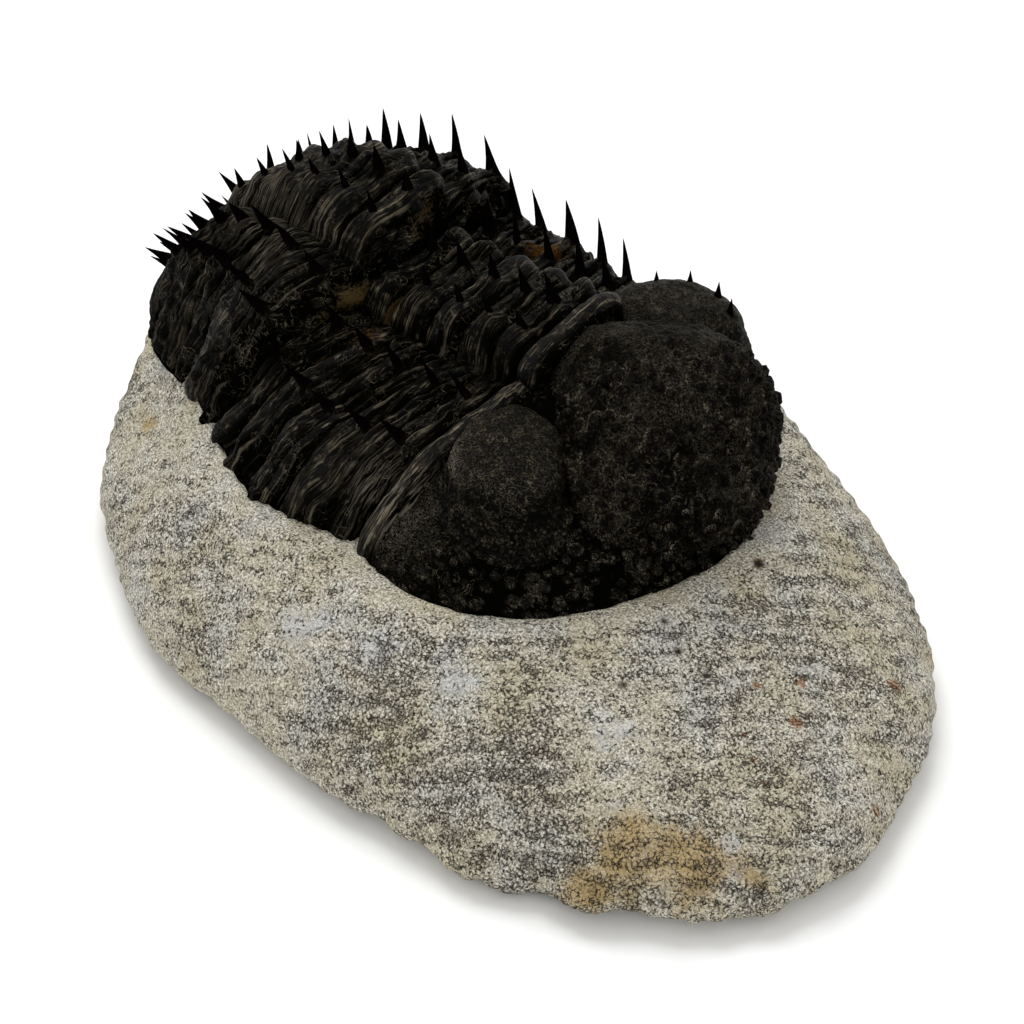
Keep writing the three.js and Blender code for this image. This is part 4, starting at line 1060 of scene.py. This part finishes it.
def stonePart():
    turns, footRows, sideRows = stone["turns"], stone["footRows"], stone["sideRows"]
    outline = closedCurve(stone["outline"], turns)
    contact = closedCurve(stone["contact"], turns)
    foot = outline * stone["foot"]
    rings = [np.column_stack([foot * (k / footRows) ** 0.6, np.zeros(turns)]) for k in range(1, footRows + 1)]
    shares = np.linspace(stone["rings"][0][0], 1, stone["topRows"])
    levels = curveThrough(*stone["rings"], shares)
    lowest = outline + (contact - outline) * shares[0]
    for k in range(1, sideRows):
        turn = k / sideRows * math.pi / 2
        ring = foot + (lowest - foot) * math.sin(turn) ** 0.8
        rings.append(np.column_stack([ring, np.full(turns, levels[0] * (1 - math.cos(turn)))]))
    for share, z in zip(shares, levels):
        rings.append(np.column_stack([outline + (contact - outline) * share, np.full(turns, z)]))
    for inward in np.linspace(0, 1, stone["innerRows"] + 1)[1:]:
        rings.append(np.column_stack([contact * (1 - 0.5 * inward), np.full(turns, levels[-1] + 0.6 * inward)]))
    base = np.array(rings)
    outward = base * [1, 1, 0]
    outward /= np.maximum(np.linalg.norm(outward, axis=-1, keepdims=True), 1e-6)
    normal = surfaceNormals(base)
    normal[(normal * (outward + [0, 0, 0.3])).sum(-1) < 0] *= -1
    row = np.arange(len(rings))[:, None]
    widest = footRows + sideRows
    lift = stone["waves"] * roughNoise(base, 13.0, 81, 3) + stone["lumps"] * roughNoise(base, 3.2, 83, 3)
    # bedding planes weather into low wavy steps
    bed = base @ np.array(limestoneLook["bedNormal"]) + 2.2 * softNoise(base, 11.0, 85)
    lift = lift + stone["steps"] * np.sin(bed * 2 * math.pi / limestoneLook["bedding"])
    broken = smoothStep(5, 30, base[..., 0]) * smoothStep(-10, -30, base[..., 1]) * bell(row - (widest + 2), 12)
    lift = lift + stone["broken"] * broken * roughNoise(base, 4.5, 87, 4)
    # flat below, and calmer towards the fossil
    calm = 1 - 0.55 * smoothStep(widest + 88, widest + 118, row)
    lift = lift * smoothStep(footRows - 1, footRows + 5, row) * calm
    shaped = base + normal * lift[..., None]
    shaped[:footRows, :, 2] = 0.0
    shaped[..., 2] = np.maximum(shaped[..., 2], 0.0)
    points = shaped.reshape(-1, 3)
    top = np.repeat(np.arange(len(rings)), turns) > widest + 60
    depth = np.full(len(points), -99.0)
    for polygon in footprints():
        depth[top] = np.maximum(depth[top], insideDepth(points[top, :2], polygon))
    points[:, 2] += smoothStep(0.3, 1.3, depth) * (footZ - stone["hollow"] - points[:, 2])
    n = len(points)
    points = np.concatenate([points, [[0, 0, 0], [0, 6, footZ - stone["hollow"]]]])
    tris = np.concatenate([fan(np.arange(turns), n, True), fan(n - turns + np.arange(turns), n + 1)])
    # the stone is worked smoother beside the fossil and on the sawn facet under the edge
    facet = bell(row - (widest - 2), 9) * smoothStep(20, -5, base[..., 0]) * smoothStep(0, -20, base[..., 1])
    worked = np.append(np.maximum(smoothStep(-7, -0.5, depth), 0.7 * facet.reshape(-1)), [0, 0])
    worked = np.maximum(worked, spots(points, smoothAt)) - spots(points, roughAt)
    return {"points": points, "quads": gridFaces(len(rings), turns, wrapColumns=True), "tris": tris,
            "worked": worked, "ochre": spots(points, ochreAt), "chalk": spots(points, chalkAt),
            "rust": spots(points, stoneRustAt), "hole": np.minimum(1, 1.6 * spots(points, holesAt))}


makePiece("Limestone_matrix", [stonePart()], limestone, ["matrix_stone"])
print("stone ready")


view = {
    "azimuth": 36.0, "elevation": 36.0, "distance": 900.0,  # degrees, and mm from the back of the head
    "lens": 215.2, "sensor": 36.0,  # mm
    "targetZ": 51.0,  # height of the back of the head in mm
    "middle": (-9.706, -27.5),  # the picture's middle, right of and above the back of the head in mm
}


def addCamera():
    a, e = math.radians(view["azimuth"]), math.radians(view["elevation"])
    right = Vector((math.cos(a), math.sin(a), 0))
    forward = Vector((-math.sin(a) * math.cos(e), math.cos(a) * math.cos(e), -math.sin(e)))
    up = right.cross(forward)
    target = Vector((fossilAt[0], fossilAt[1], view["targetZ"]))
    camera = bpy.data.objects.new("Camera", bpy.data.cameras.new("Camera"))
    camera.location = (target - view["distance"] * forward) * mm
    aim = (target + view["middle"][0] * right + view["middle"][1] * up) * mm
    camera.rotation_euler = (aim - camera.location).to_track_quat("-Z", "Y").to_euler()
    camera.data.lens = view["lens"]
    camera.data.sensor_width = view["sensor"]
    camera.data.clip_start = 0.05
    camera.data.clip_end = 20.0
    bpy.context.scene.collection.objects.link(camera)
    bpy.context.scene.camera = camera


light = {
    "world": "#ffffff", "worldStrength": 0.75,
    # place and size in metres, and watts
    "lamps": {"Key": ((-0.45, 0.35, 0.95), 0.8, 7.0), "Fill": ((0.75, -0.7, 0.55), 1.0, 2.5)},
    "floor": "#fbfbfa",
}


def addStudio():
    # A pale paper floor under a white sky, with a soft key light from behind on the left and a weak fill
    mesh = bpy.data.meshes.new("Floor")
    mesh.from_pydata([(-4, -4, 0), (4, -4, 0), (4, 4, 0), (-4, 4, 0)], [], [(0, 1, 2, 3)])
    floor = bpy.data.objects.new("Floor", mesh)
    floor.location.z = -0.0002
    bpy.context.scene.collection.objects.link(floor)
    paper = newMaterial("Matt_white_paper")
    inputs = {"Base Color": linearColour(light["floor"]), "Roughness": 0.95, "Specular IOR Level": 0.1}
    shader = addNode(paper.node_tree, "BsdfPrincipled", {}, inputs)
    addNode(paper.node_tree, "OutputMaterial", {}, {"Surface": shader})
    mesh.materials.append(paper)
    world = bpy.data.worlds.new("Studio")
    bpy.context.scene.world = world
    world.use_nodes = True
    background = world.node_tree.nodes["Background"]
    background.inputs["Color"].default_value = linearColour(light["world"])
    background.inputs["Strength"].default_value = light["worldStrength"]
    for name, (place, size, power) in light["lamps"].items():
        data = bpy.data.lights.new(name, "AREA")
        data.shape = "DISK"
        data.size = size
        data.energy = power
        lamp = bpy.data.objects.new(name, data)
        lamp.location = place
        lamp.rotation_euler = (Vector((0, 0, 0.03)) - lamp.location).to_track_quat("-Z", "Y").to_euler()
        bpy.context.scene.collection.objects.link(lamp)
    bpy.context.scene.view_settings.view_transform = "Standard"


addCamera()
addStudio()
print("camera and light ready")
